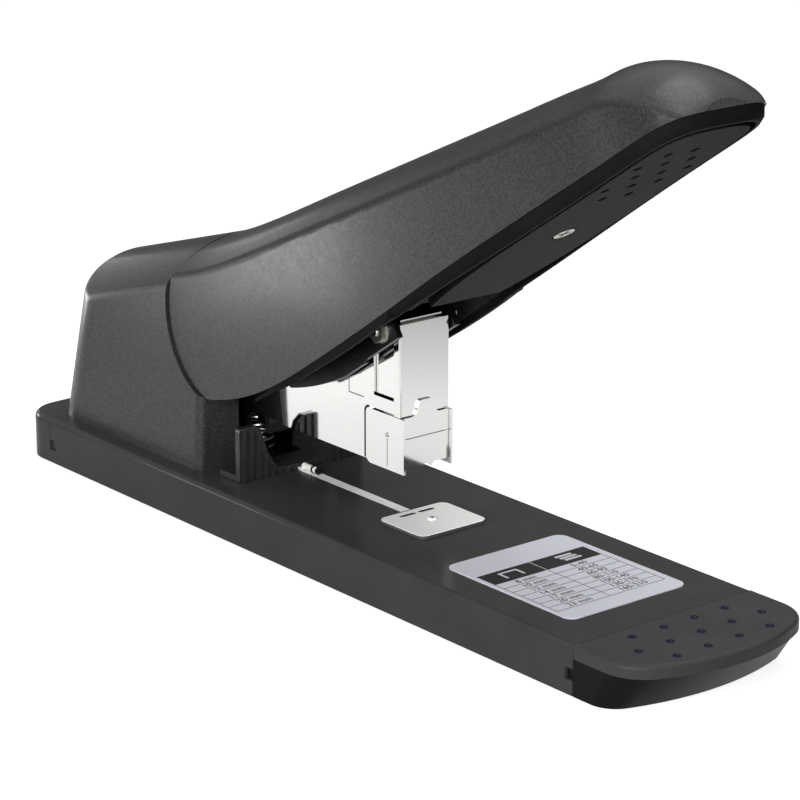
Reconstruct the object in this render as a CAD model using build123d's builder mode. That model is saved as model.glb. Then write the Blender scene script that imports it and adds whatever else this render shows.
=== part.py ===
"""Heavy-duty long-lever stapler: base, rear housing, lifting handle, magazine head, loader and paper guide.

Frame: millimetres, +Z up, origin on the table under the middle of the base, +X towards the base's
round front end (the handle's free end), -Y is the user's left-hand side of the jaw.
"""

import os
from math import cos, radians, sin, tan

from build123d import *

os.makedirs("parts", exist_ok=True)

# ---------------------------------------------------------------------------------------------
# Driving dimensions
# ---------------------------------------------------------------------------------------------

# Base tray
base_length = 315.0
base_rear_reach = 157.5
base_width = 70.0
base_height = 16.0
base_wall = 2.4
base_edge_radius = 2.0
foot_lift = 0.8
front_cap_length = 31.8
rear_cap_length = 18.0
seam_gap = 0.2
front_bow_radius = 62.0
front_corner_radius = 14.0
front_lip_height = 4.0
front_lip_radius = 1.4
front_undercut = 11.0
front_lower_bow_radius = 89.0
front_lower_corner_radius = 9.0
rear_bow_radius = 420.0
rear_corner_radius = 12.0
bump_radius = 1.7
bump_height = 0.7
bump_pitch = 12.0
bump_row_pitch = 9.0
bump_centre_setback = 17.1
clip_window_length = 3.2
clip_window_height = 3.6
clip_window_base_z = 5.3
clip_tongue_length = 9.0
clip_tongue_thickness = 1.6
clip_hook_reach = 1.7

# Bottom plate, feet and chassis screws
plate_thickness = 1.2
foot_height = 2.4
foot_radius = 7.0
foot_edge_radius = 0.6
foot_rear_setback = 57.5
foot_front_setback = 49.5
foot_y = 23.0
screw_radius = 2.0
screw_head_radius = 3.8
screw_head_height = 1.4
screw_clearance = 0.2
screw_rear_setback = 10.0
screw_front_setback = 9.0
screw_y = 19.0
screw_post_radius = 4.6
plate_clearance = 0.2

# Items on top of the base
anvil_length = 21.8
anvil_width = 26.6
anvil_thickness = 1.0
anvil_rear_x = 11.5
anvil_corner_radius = 3.0
anvil_pocket_x = 14.6
anvil_pocket_length = 6.0
anvil_pocket_width = 1.7
anvil_pocket_depth = 0.5
anvil_pocket_y = 3.7
anvil_rivet_x = 22.0
anvil_rivet_radius = 1.6
anvil_rivet_height = 0.5
label_length = 56.0
label_width = 46.0
label_thickness = 0.3
label_front_setback = 14.2
label_corner_radius = 3.5
rail_width = 3.7
rail_thickness = 1.0
rail_depth = 1.3
rail_rear_x = -57.0
rail_front_x = 8.9
rail_side_gap = 0.1

# Pivots
pivot_x = -52.0
pivot_z = 69.1
magazine_pivot_x = -116.0
magazine_pivot_z = 45.0
handle_open_angle = 33.6
running_clearance = 0.05
side_clearance = 0.4

# Steel chassis
chassis_web_thickness = 1.6
chassis_web_half_width = 23.0
chassis_rear_setback = 19.5
cheek_rear_setback = 2.0
chassis_front_x = -67.0
chassis_tongue_x = -57.5
chassis_tongue_half_width = 9.0
cheek_inner_y = 12.6
cheek_thickness = 2.0
cheek_front_angle = -50.0
cheek_rear_angle = 127.0
cheek_back_reach = 24.0
pin_end_play = 0.1
pivot_boss_radius = 9.0
handle_pin_radius = 4.0
handle_pin_head_radius = 6.0
handle_pin_head_thickness = 1.6
magazine_pin_radius = 3.0
magazine_pin_head_radius = 5.0
magazine_pin_head_thickness = 1.4

# Rear housing
housing_wall = 2.5
housing_front_x = -62.2
housing_rear_setback = 8.5
housing_half_width = 28.0
housing_rear_lean = 12.0
housing_side_lean = 2.5
housing_rear_corner_radius = 15.0
housing_front_corner_radius = 3.0
housing_front_spare = 15.0
housing_top_reach = 95.0
housing_crown_radius = 31.7
housing_crown_x = -73.75
housing_crown_z = 89.5
housing_crown_slope = 16.4
housing_rim_radius = 4.5
housing_mouth_half_width = 11.8
housing_gap = 0.8

# Handle, in its own frame: u runs from the pivot along the handle, v is square to it
handle_drum_radius = 29.6
handle_wall = 2.5
handle_length = 217.5
handle_rim_v = -27.7
handle_rear_half_width = 27.0
taper_start_u = 70.0
taper_middle_u = 120.0
handle_front_half_width = 22.0
handle_top_v = 26.7
handle_top_slope = 0.157
flare_height = 3.6
flare_start_u = 12.0
flare_length = 33.0
handle_draft = 2.6
draft_height = 50.0
handle_sagitta_share = 0.45
handle_shoulder_radius = 5.0
nose_start_u = 185.0
nose_plan_power = 4.5
nose_top_power = 1.8
apron_end_angle = 158.0
rim_seam = 0.15
under_cover_rear_u = 81.0
under_cover_floor = 1.6
band_inset = 0.6
band_lower_v = -30.4
band_lower_inset = 1.4
ridge_v = -31.6
ridge_inset = 3.6
ridge_width = 1.0
ring_inset = 3.4
valley_v = -30.2
panel_v = -31.85
panel_inset = 4.9
panel_rear_half_width = 13.4
panel_waist_u = 115.0
panel_waist_half_width = 18.2
strip_rear_u = 3.0
strip_outer_inset = 0.8
strip_thickness = 1.8
strip_rear_v = -29.4
strip_heel_u = 15.0
strip_heel_v = -30.3
strip_belly_u = 38.0
strip_belly_v = -31.6
strip_front_v = -31.2
strip_top_v = -28.5
ridge_ramp_start_u = 59.0
ridge_ramp_end_u = 75.0
ridge_ramp_top_v = -29.8
head_slot_front_u = 86.0
head_slot_half_width = 16.4
dimple_radius = 1.9
dimple_depth = 0.7
dimple_pitch = 10.0
dimple_row_pitch = 7.7
dimple_centre_u = 182.0
handle_screw_u = 138.0
handle_screw_radius = 1.8
handle_screw_head_radius = 3.3
handle_screw_head_height = 2.0
handle_screw_pocket_radius = 3.8
handle_screw_boss_radius = 5.6

# Lever frame inside the handle
lever_inner_y = 10.2
lever_thickness = 2.0
lever_front_u = 64.5
lever_bottom_v = -34.5
lever_heel_u = 3.8
lever_arch_u = 13.1
lever_arch_v = -30.8
lever_toe_u = 22.6
lever_toe_v = -33.0
lever_sole_u = 32.0
lever_channel_rise = 4.0
lever_shoulder_reach = 6.0
lever_web_reach = 12.0
lever_web_v = 2.0
lever_web_thickness = 2.0
lever_channel_end_u = 150.0
lever_channel_bottom_v = -24.0
lever_channel_top_v = -4.0
lever_step = 0.8
lever_step_u = 44.0
bush_outer_radius = 5.6
bush_flange_radius = 7.2
bush_flange_thickness = 0.5
link_u = 58.3
link_v = -28.8
link_bolt_radius = 1.6
link_nut_flats = 6.4
link_nut_thickness = 2.0
link_washer_radius = 4.0
link_washer_thickness = 0.6

# Magazine, lying level at rest
magazine_floor_z = 33.1
sheet = 0.75
arm_inner_y = 7.45
arm_rear_x = -123.0
arm_front_x = -25.0
arm_top_z = 55.0
arm_tail_drop = 7.0
arm_tail_rise = 6.0
arm_tail_slope = 12.0
arm_floor_setback = 10.0
arm_floor_gap = 2.0
channel_rear_x = -42.1
channel_front_x = 17.3
channel_top_z = 78.0
channel_step_z = 75.0
channel_slope_x = -10.0
channel_slope_z = 66.0
channel_shoulder_x = -30.0
channel_shoulder_z = 56.5
channel_tail_x = -43.6
channel_tail_upper_z = 50.0
channel_tail_lower_z = 42.7
window_rear_x = 4.6
window_front_x = 14.8
window_bottom_z = 54.5
floor_front_x = 13.4
head_front_x = 18.2
head_top_z = 79.5
head_lower_z = 50.3
head_flange_length = 2.9
head_bend_radius = 0.6
throat_pad_rear_x = 17.6
throat_pad_half_width = 6.2
throat_pad_lower_z = 34.4
clip_rear_x = 1.5
clip_front_x = 20.0
clip_lower_z = 32.4
clip_upper_z = 50.0
clip_corner_radius = 2.5
clip_rivet_radius = 0.7
clip_rivet_x = 12.0
clip_rivet_z = 43.5
throat_upper_z = 43.2
claw_height = 1.1
claw_inner_y = 0.6
claw_tip_y = 2.2
claw_outer_y = 3.2

# Driver
driver_rear_x = 16.4
driver_thickness = 0.9
driver_half_width = 6.4
driver_lower_z = 52.7
driver_upper_z = 79.0
carriage_rear_x = 3.8
carriage_ledge = 1.15
carriage_play = 0.35
carriage_side_gap = 0.15
carriage_apron_thickness = 0.6
carriage_apron_front_x = 15.3
carriage_apron_lower_z = 55.2
slot_end_x = 14.6

# Loader: sliding tray, hollow core, staples and pusher
loader_floor_z = 43.5
loader_top_z = 50.0
tray_arm_top_z = 49.8
loader_rear_x = -92.0
loader_bridge_length = 4.0
blade_gap = 7.0
core_block_length = 3.5
tray_arm_inner_y = 6.7
tray_arm_thickness = 0.6
nose_side_gap = 0.1
nose_rear_gap = 0.1
nose_shoulder_z = 50.1
nose_tab_z = 54.9
nose_tab_root = 5.0
nose_tab_middle = 3.4
nose_tab_top = 1.9
core_half_width = 5.75
core_height = 5.8
core_wall = 0.75
core_slot_half_width = 1.3
staple_wire = 0.55
staple_clearance = 0.15
strip_length = 55.0
strip_front_x = 16.2
strip_height = 6.1
pusher_length = 6.0
pusher_rod_radius = 1.0
pusher_rod_z = 45.9
pusher_spring_radius = 1.75
pusher_spring_wire = 0.35
pusher_spring_turns = 9

# Paper guide
guide_front_x = -43.5
guide_thickness = 3.0
guide_foot_length = 8.5
guide_foot_height = 1.8
guide_half_width = 24.7
guide_top_z = 34.0
guide_lift = 0.3
guide_trough_z = 18.0
guide_trough_half_width = 7.5
guide_notch_half_width = 18.6
guide_ear_y = 16.1
guide_ear_drop = 2.0
guide_cheek_y = 13.8
guide_cheek_drop = 8.9
guide_throat_y = 11.3
guide_throat_drop = 13.5
guide_heel_y = 8.7
guide_corner_radius = 1.2
guide_rib_drop = 0.6
guide_rib_pitch = 2.9
guide_rib_width = 1.4
guide_rib_height = 0.8
guide_rib_count = 17
guide_clip_length = 6.5
guide_clip_half_width = 2.6
guide_clip_thickness = 0.9

# Release catch under the magazine
catch_x = -57.6
catch_half_width = 4.5
catch_drop = 5.5
catch_pin_radius = 1.0

# Springs
handle_spring_wire = 0.8
handle_spring_turns = 5
handle_spring_pitch = 2.6
magazine_spring_wire = 0.6
magazine_spring_radius = 4.4
magazine_spring_turns = 5
magazine_spring_x = -67.0
spring_seat = 0.3

# ---------------------------------------------------------------------------------------------
# Values worked out from the driving dimensions
# ---------------------------------------------------------------------------------------------

half_base_width = base_width / 2
base_front_x = base_length - base_rear_reach
base_rear_x = -base_rear_reach
chassis_rear_x = base_rear_x + chassis_rear_setback
housing_rear_x = base_rear_x + housing_rear_setback
screw_rear_x = chassis_rear_x + screw_rear_setback
screw_front_x = chassis_front_x - screw_front_setback
foot_rear_x = base_rear_x + foot_rear_setback
foot_front_x = base_front_x - foot_front_setback
front_seam_x = base_front_x - front_cap_length
rear_seam_x = base_rear_x + rear_cap_length
label_rear_x = front_seam_x - label_front_setback - label_length
cover_length = front_seam_x - rear_seam_x
cover_mid_x = (front_seam_x + rear_seam_x) / 2
base_inner_y = half_base_width - base_wall
base_inner_z = base_height - base_wall
plate_z = foot_height
plate_top_z = plate_z + plate_thickness
web_top_z = base_height + chassis_web_thickness
cheek_outer_y = cheek_inner_y + cheek_thickness
lever_outer_y = lever_inner_y + lever_thickness
channel_inner_y = arm_inner_y + sheet
clip_inner_y = channel_inner_y + sheet
slope_cos = cos(radians(handle_open_angle))
slope_sin = sin(radians(handle_open_angle))
housing_arc_radius = handle_drum_radius + housing_gap

handle_plane = Plane(
    origin=(pivot_x, 0, pivot_z),
    x_dir=(slope_cos, 0, slope_sin),
    z_dir=(0, -1, 0),
)
side_plane = Plane.XZ


def handle_section_plane(u):
    """Plane square to the handle at distance u; its own x is the row's y and its own y is v."""
    origin = (pivot_x + u * slope_cos, 0, pivot_z + u * slope_sin)
    return Plane(origin=origin, x_dir=(0, 1, 0), z_dir=(slope_cos, 0, slope_sin))


def handle_layer_plane(v):
    """Plane along the handle at height v; its own x is u and its own y is the row's y."""
    origin = (pivot_x - v * slope_sin, 0, pivot_z + v * slope_cos)
    return Plane(origin=origin, x_dir=(slope_cos, 0, slope_sin), z_dir=(-slope_sin, 0, slope_cos))


def finish(part, name):
    """Label a finished piece and write its file."""
    part.label = name
    export_step(part, f"parts/{name}.step")


# ---------------------------------------------------------------------------------------------
# Base tray: middle cover, front cap, rear cap, bottom plate
# ---------------------------------------------------------------------------------------------


def cap_outline(seam_x, tip_x, bow_radius, corner_radius, half_width):
    """Plan of an end cap: straight sides from the seam, a bowed end and rounded corners."""
    outward = 1 if tip_x > seam_x else -1
    reach = abs(tip_x - seam_x) + 1
    with BuildSketch() as outline:
        with Locations((tip_x - outward * bow_radius, 0)):
            Circle(bow_radius)
        with Locations((seam_x + outward * reach / 2, 0)):
            Rectangle(reach, 2 * half_width, mode=Mode.INTERSECT)
        outer_corners = outline.vertices().sort_by(Axis.X, reverse=outward < 0)[-2:]
        fillet(outer_corners, corner_radius)
    return outline.sketch


with BuildPart() as base_cover:
    with BuildSketch(Plane.XY.offset(foot_lift)):
        with Locations((cover_mid_x, 0)):
            Rectangle(cover_length, base_width)
    extrude(amount=base_height - foot_lift)
    fillet(base_cover.edges().filter_by(Axis.X).group_by(Axis.Z)[-1], base_edge_radius)
    with BuildSketch(Plane.XY.offset(foot_lift)):
        with Locations((cover_mid_x, 0)):
            Rectangle(cover_length, 2 * base_inner_y)
    extrude(amount=base_inner_z - foot_lift, mode=Mode.SUBTRACT)
    # Posts that stand on the bottom plate and take the long chassis screws
    with BuildSketch(Plane.XY.offset(plate_top_z)):
        with Locations(*[(x, y) for x in (screw_rear_x, screw_front_x) for y in (-screw_y, screw_y)]):
            Circle(screw_post_radius)
    extrude(amount=base_inner_z - plate_top_z)
    with BuildSketch(Plane.XY.offset(plate_top_z)):
        with Locations(*[(x, y) for x in (screw_rear_x, screw_front_x) for y in (-screw_y, screw_y)]):
            Circle(screw_radius + screw_clearance)
    extrude(amount=base_height - plate_top_z, mode=Mode.SUBTRACT)
    # Slot for the paper guide's rail
    with BuildSketch(Plane.XY.offset(base_inner_z)):
        with Locations(((rail_rear_x + rail_front_x) / 2, 0)):
            Rectangle(rail_front_x - rail_rear_x + 2 * rail_side_gap, rail_width + 2 * rail_side_gap)
    extrude(amount=base_wall, mode=Mode.SUBTRACT)
    # Windows that the caps' clips snap into
    with BuildSketch(Plane.XZ.offset(-half_base_width)):
        for window_x in (rear_seam_x + clip_window_length / 2, front_seam_x - clip_window_length / 2):
            with Locations((window_x, clip_window_base_z + clip_window_height / 2)):
                Rectangle(clip_window_length, clip_window_height)
    extrude(amount=base_width, mode=Mode.SUBTRACT)


def add_clip_tongues(seam_x, inward):
    """Two tongues that reach into the cover, each with a hook in the cover's window."""
    tongue_mid_x = seam_x + inward * (clip_tongue_length / 2 - base_wall)
    hook_x = seam_x + inward * (clip_window_length / 2 + seam_gap / 2)
    tongue_z = clip_window_base_z + clip_window_height / 2
    tongue_outer_y = base_inner_y - seam_gap
    hook_reach = clip_hook_reach
    root_thickness = clip_tongue_thickness + 2 * seam_gap
    root_outer_y = base_inner_y + seam_gap
    for side in (-1, 1):
        with Locations((seam_x - inward * base_wall, side * (root_outer_y - root_thickness / 2), tongue_z)):
            Box(2 * base_wall, root_thickness, clip_window_height + 2 * base_wall)
        with Locations((tongue_mid_x, side * (tongue_outer_y - clip_tongue_thickness / 2), tongue_z)):
            Box(clip_tongue_length, clip_tongue_thickness, clip_window_height + 2 * base_wall)
        with Locations((hook_x, side * (tongue_outer_y + hook_reach / 2), tongue_z)):
            Box(clip_window_length - 2 * seam_gap, hook_reach, clip_window_height - 2 * seam_gap)


front_edge_x = front_seam_x + seam_gap
lip_lower_z = base_height - front_lip_height
front_lower_tip_x = base_front_x - front_undercut

with BuildPart() as front_cap:
    with BuildSketch(Plane.XY.offset(lip_lower_z)):
        add(cap_outline(front_edge_x, base_front_x, front_bow_radius, front_corner_radius, half_base_width))
    extrude(amount=front_lip_height)
    lip_edges = front_cap.faces().sort_by(Axis.Z)[-1].edges().sort_by(Axis.X)[1:]
    fillet(lip_edges, front_lip_radius)
    with BuildSketch(Plane.XY.offset(lip_lower_z)):
        add(
            cap_outline(
                front_edge_x,
                base_front_x - front_lip_radius / 2,
                front_bow_radius,
                front_corner_radius,
                half_base_width,
            )
        )
    with BuildSketch(Plane.XY.offset(foot_lift)):
        add(
            cap_outline(
                front_edge_x,
                front_lower_tip_x,
                front_lower_bow_radius,
                front_lower_corner_radius,
                half_base_width,
            )
        )
    loft()
    with BuildSketch(Plane.XY.offset(foot_lift)):
        add(
            cap_outline(
                front_edge_x,
                front_lower_tip_x - base_wall,
                front_lower_bow_radius,
                front_lower_corner_radius,
                base_inner_y,
            )
        )
    extrude(amount=base_inner_z - foot_lift, mode=Mode.SUBTRACT)
    # Five staggered rows of low pips where the palm bears down
    bump_centre_x = base_front_x - bump_centre_setback
    bump_sphere_z = base_height + bump_height - bump_radius
    for row, count in ((-1, 4), (0, 5), (1, 4)):
        for index in range(count):
            bump_y = (index - (count - 1) / 2) * bump_pitch
            with Locations((bump_centre_x + row * bump_row_pitch, bump_y, bump_sphere_z)):
                Sphere(bump_radius)
    add_clip_tongues(front_edge_x, -1)
finish(front_cap.part, "front_cap")

rear_edge_x = rear_seam_x - seam_gap

with BuildPart() as rear_cap:
    with BuildSketch(Plane.XY.offset(foot_lift)):
        add(cap_outline(rear_edge_x, base_rear_x, rear_bow_radius, rear_corner_radius, half_base_width))
    extrude(amount=base_height - foot_lift)
    fillet(rear_cap.faces().sort_by(Axis.Z)[-1].edges().sort_by(Axis.X)[:-1], base_edge_radius)
    with BuildSketch(Plane.XY.offset(foot_lift)):
        add(
            cap_outline(
                rear_edge_x,
                base_rear_x + base_wall,
                rear_bow_radius,
                rear_corner_radius - base_wall,
                base_inner_y,
            )
        )
    extrude(amount=base_inner_z - foot_lift, mode=Mode.SUBTRACT)
    add_clip_tongues(rear_edge_x, 1)
finish(rear_cap.part, "rear_cap")
finish(base_cover.part, "base_cover")

with BuildPart() as base_plate:
    plate_length = cover_length - 2 * clip_tongue_length
    with BuildSketch(Plane.XY.offset(plate_z)):
        with Locations((cover_mid_x, 0)):
            RectangleRounded(plate_length, 2 * (base_inner_y - plate_clearance), anvil_corner_radius)
    extrude(amount=plate_thickness)
    with BuildSketch(Plane.XY.offset(plate_z)):
        with Locations(*[(x, y) for x in (screw_rear_x, screw_front_x) for y in (-screw_y, screw_y)]):
            Circle(screw_radius + screw_clearance)
    extrude(amount=plate_thickness, mode=Mode.SUBTRACT)
finish(base_plate.part, "base_plate")

with BuildPart() as feet:
    with BuildSketch():
        with Locations(*[(x, y) for x in (foot_rear_x, foot_front_x) for y in (-foot_y, foot_y)]):
            Circle(foot_radius)
    extrude(amount=foot_height)
    fillet(feet.edges().filter_by(GeomType.CIRCLE).group_by(Axis.Z)[0], foot_edge_radius)
finish(feet.part, "feet")

with BuildPart() as base_screws:
    with BuildSketch(Plane.XY.offset(plate_z - screw_head_height)):
        with Locations(*[(x, y) for x in (screw_rear_x, screw_front_x) for y in (-screw_y, screw_y)]):
            Circle(screw_head_radius)
    extrude(amount=screw_head_height)
    with BuildSketch(Plane.XY.offset(plate_z)):
        with Locations(*[(x, y) for x in (screw_rear_x, screw_front_x) for y in (-screw_y, screw_y)]):
            Circle(screw_radius)
    extrude(amount=web_top_z + screw_radius - plate_z)
    with BuildSketch(Plane.XY.offset(plate_z - screw_head_height)):
        with Locations(*[(x, y) for x in (screw_rear_x, screw_front_x) for y in (-screw_y, screw_y)]):
            Rectangle(2.4 * screw_radius, 0.6 * screw_radius)
            Rectangle(0.6 * screw_radius, 2.4 * screw_radius)
    extrude(amount=screw_head_height / 2, mode=Mode.SUBTRACT)
finish(base_screws.part, "base_screws")

# ---------------------------------------------------------------------------------------------
# Anvil, label plate and guide rail on top of the base
# ---------------------------------------------------------------------------------------------

anvil_mid_x = anvil_rear_x + anvil_length / 2

with BuildPart() as anvil_plate:
    with BuildSketch(Plane.XY.offset(base_height)):
        with Locations((anvil_mid_x, 0)):
            RectangleRounded(anvil_length, anvil_width, anvil_corner_radius)
    extrude(amount=anvil_thickness)
    fillet(anvil_plate.faces().sort_by(Axis.Z)[-1].edges(), anvil_thickness * 0.3)
    # Crimping pockets: each pair turns the two legs of a staple inwards
    with BuildSketch(Plane.XY.offset(base_height + anvil_thickness)):
        with Locations((anvil_pocket_x, -anvil_pocket_y), (anvil_pocket_x, anvil_pocket_y)):
            SlotOverall(anvil_pocket_length, anvil_pocket_width, rotation=90)
    extrude(amount=-anvil_pocket_depth, mode=Mode.SUBTRACT)
    with BuildSketch(Plane.XY.offset(base_height + anvil_thickness)):
        with Locations((anvil_rivet_x, 0)):
            Circle(anvil_rivet_radius + running_clearance)
    extrude(amount=-anvil_thickness, mode=Mode.SUBTRACT)
finish(anvil_plate.part, "anvil_plate")

with BuildPart() as anvil_rivet:
    with BuildSketch(Plane.XY.offset(base_height)):
        with Locations((anvil_rivet_x, 0)):
            Circle(anvil_rivet_radius)
    extrude(amount=anvil_thickness + anvil_rivet_height)
    fillet(anvil_rivet.edges().filter_by(GeomType.CIRCLE).group_by(Axis.Z)[-1], anvil_rivet_height * 0.8)
finish(anvil_rivet.part, "anvil_rivet")

with BuildPart() as label_plate:
    with BuildSketch(Plane.XY.offset(base_height)):
        with Locations((label_rear_x + label_length / 2, 0)):
            RectangleRounded(label_length, label_width, label_corner_radius)
    extrude(amount=label_thickness)
finish(label_plate.part, "label_plate")

rail_top_z = base_height - rail_depth

with BuildPart() as guide_rail:
    with BuildSketch(Plane.XY.offset(rail_top_z - rail_thickness)):
        with Locations(((rail_rear_x + rail_front_x) / 2, 0)):
            Rectangle(rail_front_x - rail_rear_x, rail_width)
    extrude(amount=rail_thickness)
finish(guide_rail.part, "guide_rail")

# ---------------------------------------------------------------------------------------------
# Steel chassis and its two pins
# ---------------------------------------------------------------------------------------------

cheek_rear_x = chassis_rear_x + cheek_rear_setback


def boss_point(angle):
    """Point on the rim of the cheek's round boss, at an angle in degrees."""
    reach = pivot_boss_radius * cos(radians(angle))
    rise = pivot_boss_radius * sin(radians(angle))
    return (pivot_x + reach, pivot_z + rise)


cheek_front_tangent = boss_point(cheek_front_angle)
cheek_rear_tangent = boss_point(cheek_rear_angle)

with BuildPart() as chassis_frame:
    with BuildSketch(Plane.XY.offset(base_height)):
        with Locations(((chassis_rear_x + chassis_front_x) / 2, 0)):
            Rectangle(chassis_front_x - chassis_rear_x, 2 * chassis_web_half_width)
        with Locations(((chassis_front_x + chassis_tongue_x) / 2, 0)):
            Rectangle(chassis_tongue_x - chassis_front_x, 2 * chassis_tongue_half_width)
    extrude(amount=chassis_web_thickness)
    with BuildSketch(side_plane.offset(-cheek_outer_y)) as cheek_profile:
        with BuildLine():
            Polyline(
                (cheek_rear_x, base_height),
                (chassis_front_x, base_height),
                (chassis_front_x, magazine_pivot_z + 1),
                cheek_front_tangent,
                cheek_rear_tangent,
                (pivot_x - cheek_back_reach, pivot_z - pivot_boss_radius),
                (magazine_pivot_x, magazine_pivot_z + pivot_boss_radius),
                (cheek_rear_x, magazine_pivot_z - pivot_boss_radius),
                close=True,
            )
        make_face()
        with Locations((pivot_x, pivot_z)):
            Circle(pivot_boss_radius)
            Circle(handle_pin_radius + running_clearance, mode=Mode.SUBTRACT)
        with Locations((magazine_pivot_x, magazine_pivot_z)):
            Circle(magazine_pin_radius + running_clearance, mode=Mode.SUBTRACT)
    extrude(amount=cheek_thickness)
    far_cheek = cheek_profile.sketch.moved(Location((0, cheek_thickness - 2 * cheek_outer_y, 0)))
    extrude(far_cheek, amount=cheek_thickness)
    with BuildSketch(Plane.XY.offset(base_height)):
        with Locations(*[(x, y) for x in (screw_rear_x, screw_front_x) for y in (-screw_y, screw_y)]):
            Circle(screw_radius + screw_clearance)
    extrude(amount=chassis_web_thickness, mode=Mode.SUBTRACT)
finish(chassis_frame.part, "chassis_frame")


def headed_pin(x, z, radius, half_length, head_radius, head_thickness):
    """Pin across the machine at x, z with a head at each end."""
    with BuildPart() as pin:
        with BuildSketch(side_plane.offset(-half_length)):
            with Locations((x, z)):
                Circle(radius)
        extrude(amount=2 * half_length)
        for face_y in (-half_length - head_thickness, half_length):
            with BuildSketch(side_plane.offset(-face_y - head_thickness)):
                with Locations((x, z)):
                    Circle(head_radius)
            extrude(amount=head_thickness)
        rims = pin.edges().filter_by(GeomType.CIRCLE)
        chamfer(rims.group_by(Axis.Y)[0] + rims.group_by(Axis.Y)[-1], head_thickness / 3)
    return pin.part


finish(
    headed_pin(
        pivot_x,
        pivot_z,
        handle_pin_radius,
        cheek_outer_y + pin_end_play,
        handle_pin_head_radius,
        handle_pin_head_thickness,
    ),
    "handle_pin",
)
finish(
    headed_pin(
        magazine_pivot_x,
        magazine_pivot_z,
        magazine_pin_radius,
        cheek_outer_y + pin_end_play,
        magazine_pin_head_radius,
        magazine_pin_head_thickness,
    ),
    "magazine_pin",
)

# ---------------------------------------------------------------------------------------------
# Rear housing: drafted block under a sloping crown, with a round seat for the handle's drum
# ---------------------------------------------------------------------------------------------


def housing_plan(z, inset):
    """Plan of the housing's block at height z, drawn in by its leaning walls and an inset."""
    rise = z - base_height
    rear_x = housing_rear_x + rise * tan(radians(housing_rear_lean)) + inset
    front_x = housing_front_x + housing_front_spare
    half_width = housing_half_width - rise * tan(radians(housing_side_lean)) - inset
    with BuildSketch(Plane.XY.offset(z)) as plan:
        with Locations(((rear_x + front_x) / 2, 0)):
            Rectangle(front_x - rear_x, 2 * half_width)
        fillet(plan.vertices().group_by(Axis.X)[0], housing_rear_corner_radius - inset)
    return plan.sketch


crown_slope = radians(housing_crown_slope)
crown_plane = Plane(
    origin=(housing_crown_x, 0, housing_crown_z),
    x_dir=(0, 1, 0),
    z_dir=(cos(crown_slope), 0, sin(crown_slope)),
)


def crown_section(inset):
    """Arched section under the crown, square to its slope."""
    with BuildSketch(crown_plane) as section:
        with Locations((0, -housing_crown_radius - inset)):
            Circle(housing_crown_radius)
            Rectangle(2 * housing_crown_radius, 2 * housing_top_reach, align=(Align.CENTER, Align.MAX))
    return section.sketch


with BuildPart() as housing_core:
    loft([housing_plan(base_height, housing_wall), housing_plan(housing_top_reach, housing_wall)])
    extrude(crown_section(housing_wall), amount=base_length, both=True, mode=Mode.INTERSECT)
    # The core stops short of the front wall below the drum's seat and runs out above it
    with BuildSketch(side_plane) as core_front:
        with Locations((housing_front_x - housing_wall, base_height)):
            Rectangle(base_length, base_length, align=(Align.MAX, Align.MIN))
    extrude(amount=base_width, both=True, mode=Mode.INTERSECT)

with BuildPart() as rear_housing:
    loft([housing_plan(base_height, 0), housing_plan(housing_top_reach, 0)])
    extrude(crown_section(0), amount=base_length, both=True, mode=Mode.INTERSECT)
    crown_face = rear_housing.faces().filter_by(GeomType.CYLINDER).sort_by(SortBy.AREA)[-1]
    spare_front_x = housing_front_x + housing_front_spare
    crown_rim = crown_face.edges().filter_by(lambda edge: edge.center().X < spare_front_x - 1)
    fillet(crown_rim, housing_rim_radius)
    with BuildSketch(side_plane):
        with Locations((housing_front_x, base_height)):
            Rectangle(base_length, base_length, align=(Align.MAX, Align.MIN))
    extrude(amount=base_width, both=True, mode=Mode.INTERSECT)
    front_corners = rear_housing.faces().sort_by(Axis.X)[-1].edges().sort_by(Axis.Y)
    fillet([front_corners[0], front_corners[-1]], housing_front_corner_radius)
    add(housing_core.part, mode=Mode.SUBTRACT)
    with BuildSketch(side_plane):
        with Locations((pivot_x, pivot_z)):
            Circle(housing_arc_radius)
    extrude(amount=base_width, both=True, mode=Mode.SUBTRACT)
    # Mouth in the front wall for the magazine
    with BuildSketch(Plane.XY.offset(base_height)):
        with Locations((housing_front_x - housing_wall / 2, 0)):
            Rectangle(2 * housing_wall, 2 * housing_mouth_half_width)
    extrude(amount=housing_top_reach - base_height, mode=Mode.SUBTRACT)
finish(rear_housing.part, "rear_housing")

# ---------------------------------------------------------------------------------------------
# Handle shell
# ---------------------------------------------------------------------------------------------


def rim_half_width(u):
    """Half-width of the handle along its lower rim: full behind, tapering forward, closing in the nose."""
    taper_length = nose_start_u - taper_start_u
    taper = (handle_rear_half_width - handle_front_half_width) / taper_length
    straight = handle_rear_half_width - taper * min(max(u - taper_start_u, 0), taper_length)
    if u <= nose_start_u:
        return straight
    reach = (u - nose_start_u) / (handle_length - nose_start_u)
    return straight * (1 - reach**nose_plan_power) ** (1 / nose_plan_power)


def top_line(u):
    """Height v of the handle's top line: straight slope, a flare over the drum and a rounded nose."""
    flare = flare_height * (max(flare_start_u - u, 0) / flare_length) ** 2
    slope = handle_top_v - handle_top_slope * u + flare
    if u <= nose_start_u:
        return slope
    reach = (u - nose_start_u) / (handle_length - nose_start_u)
    nose_height = handle_top_v - handle_top_slope * nose_start_u - handle_rim_v
    return handle_rim_v + nose_height * (1 - reach**nose_top_power) ** (1 / nose_top_power)


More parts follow.
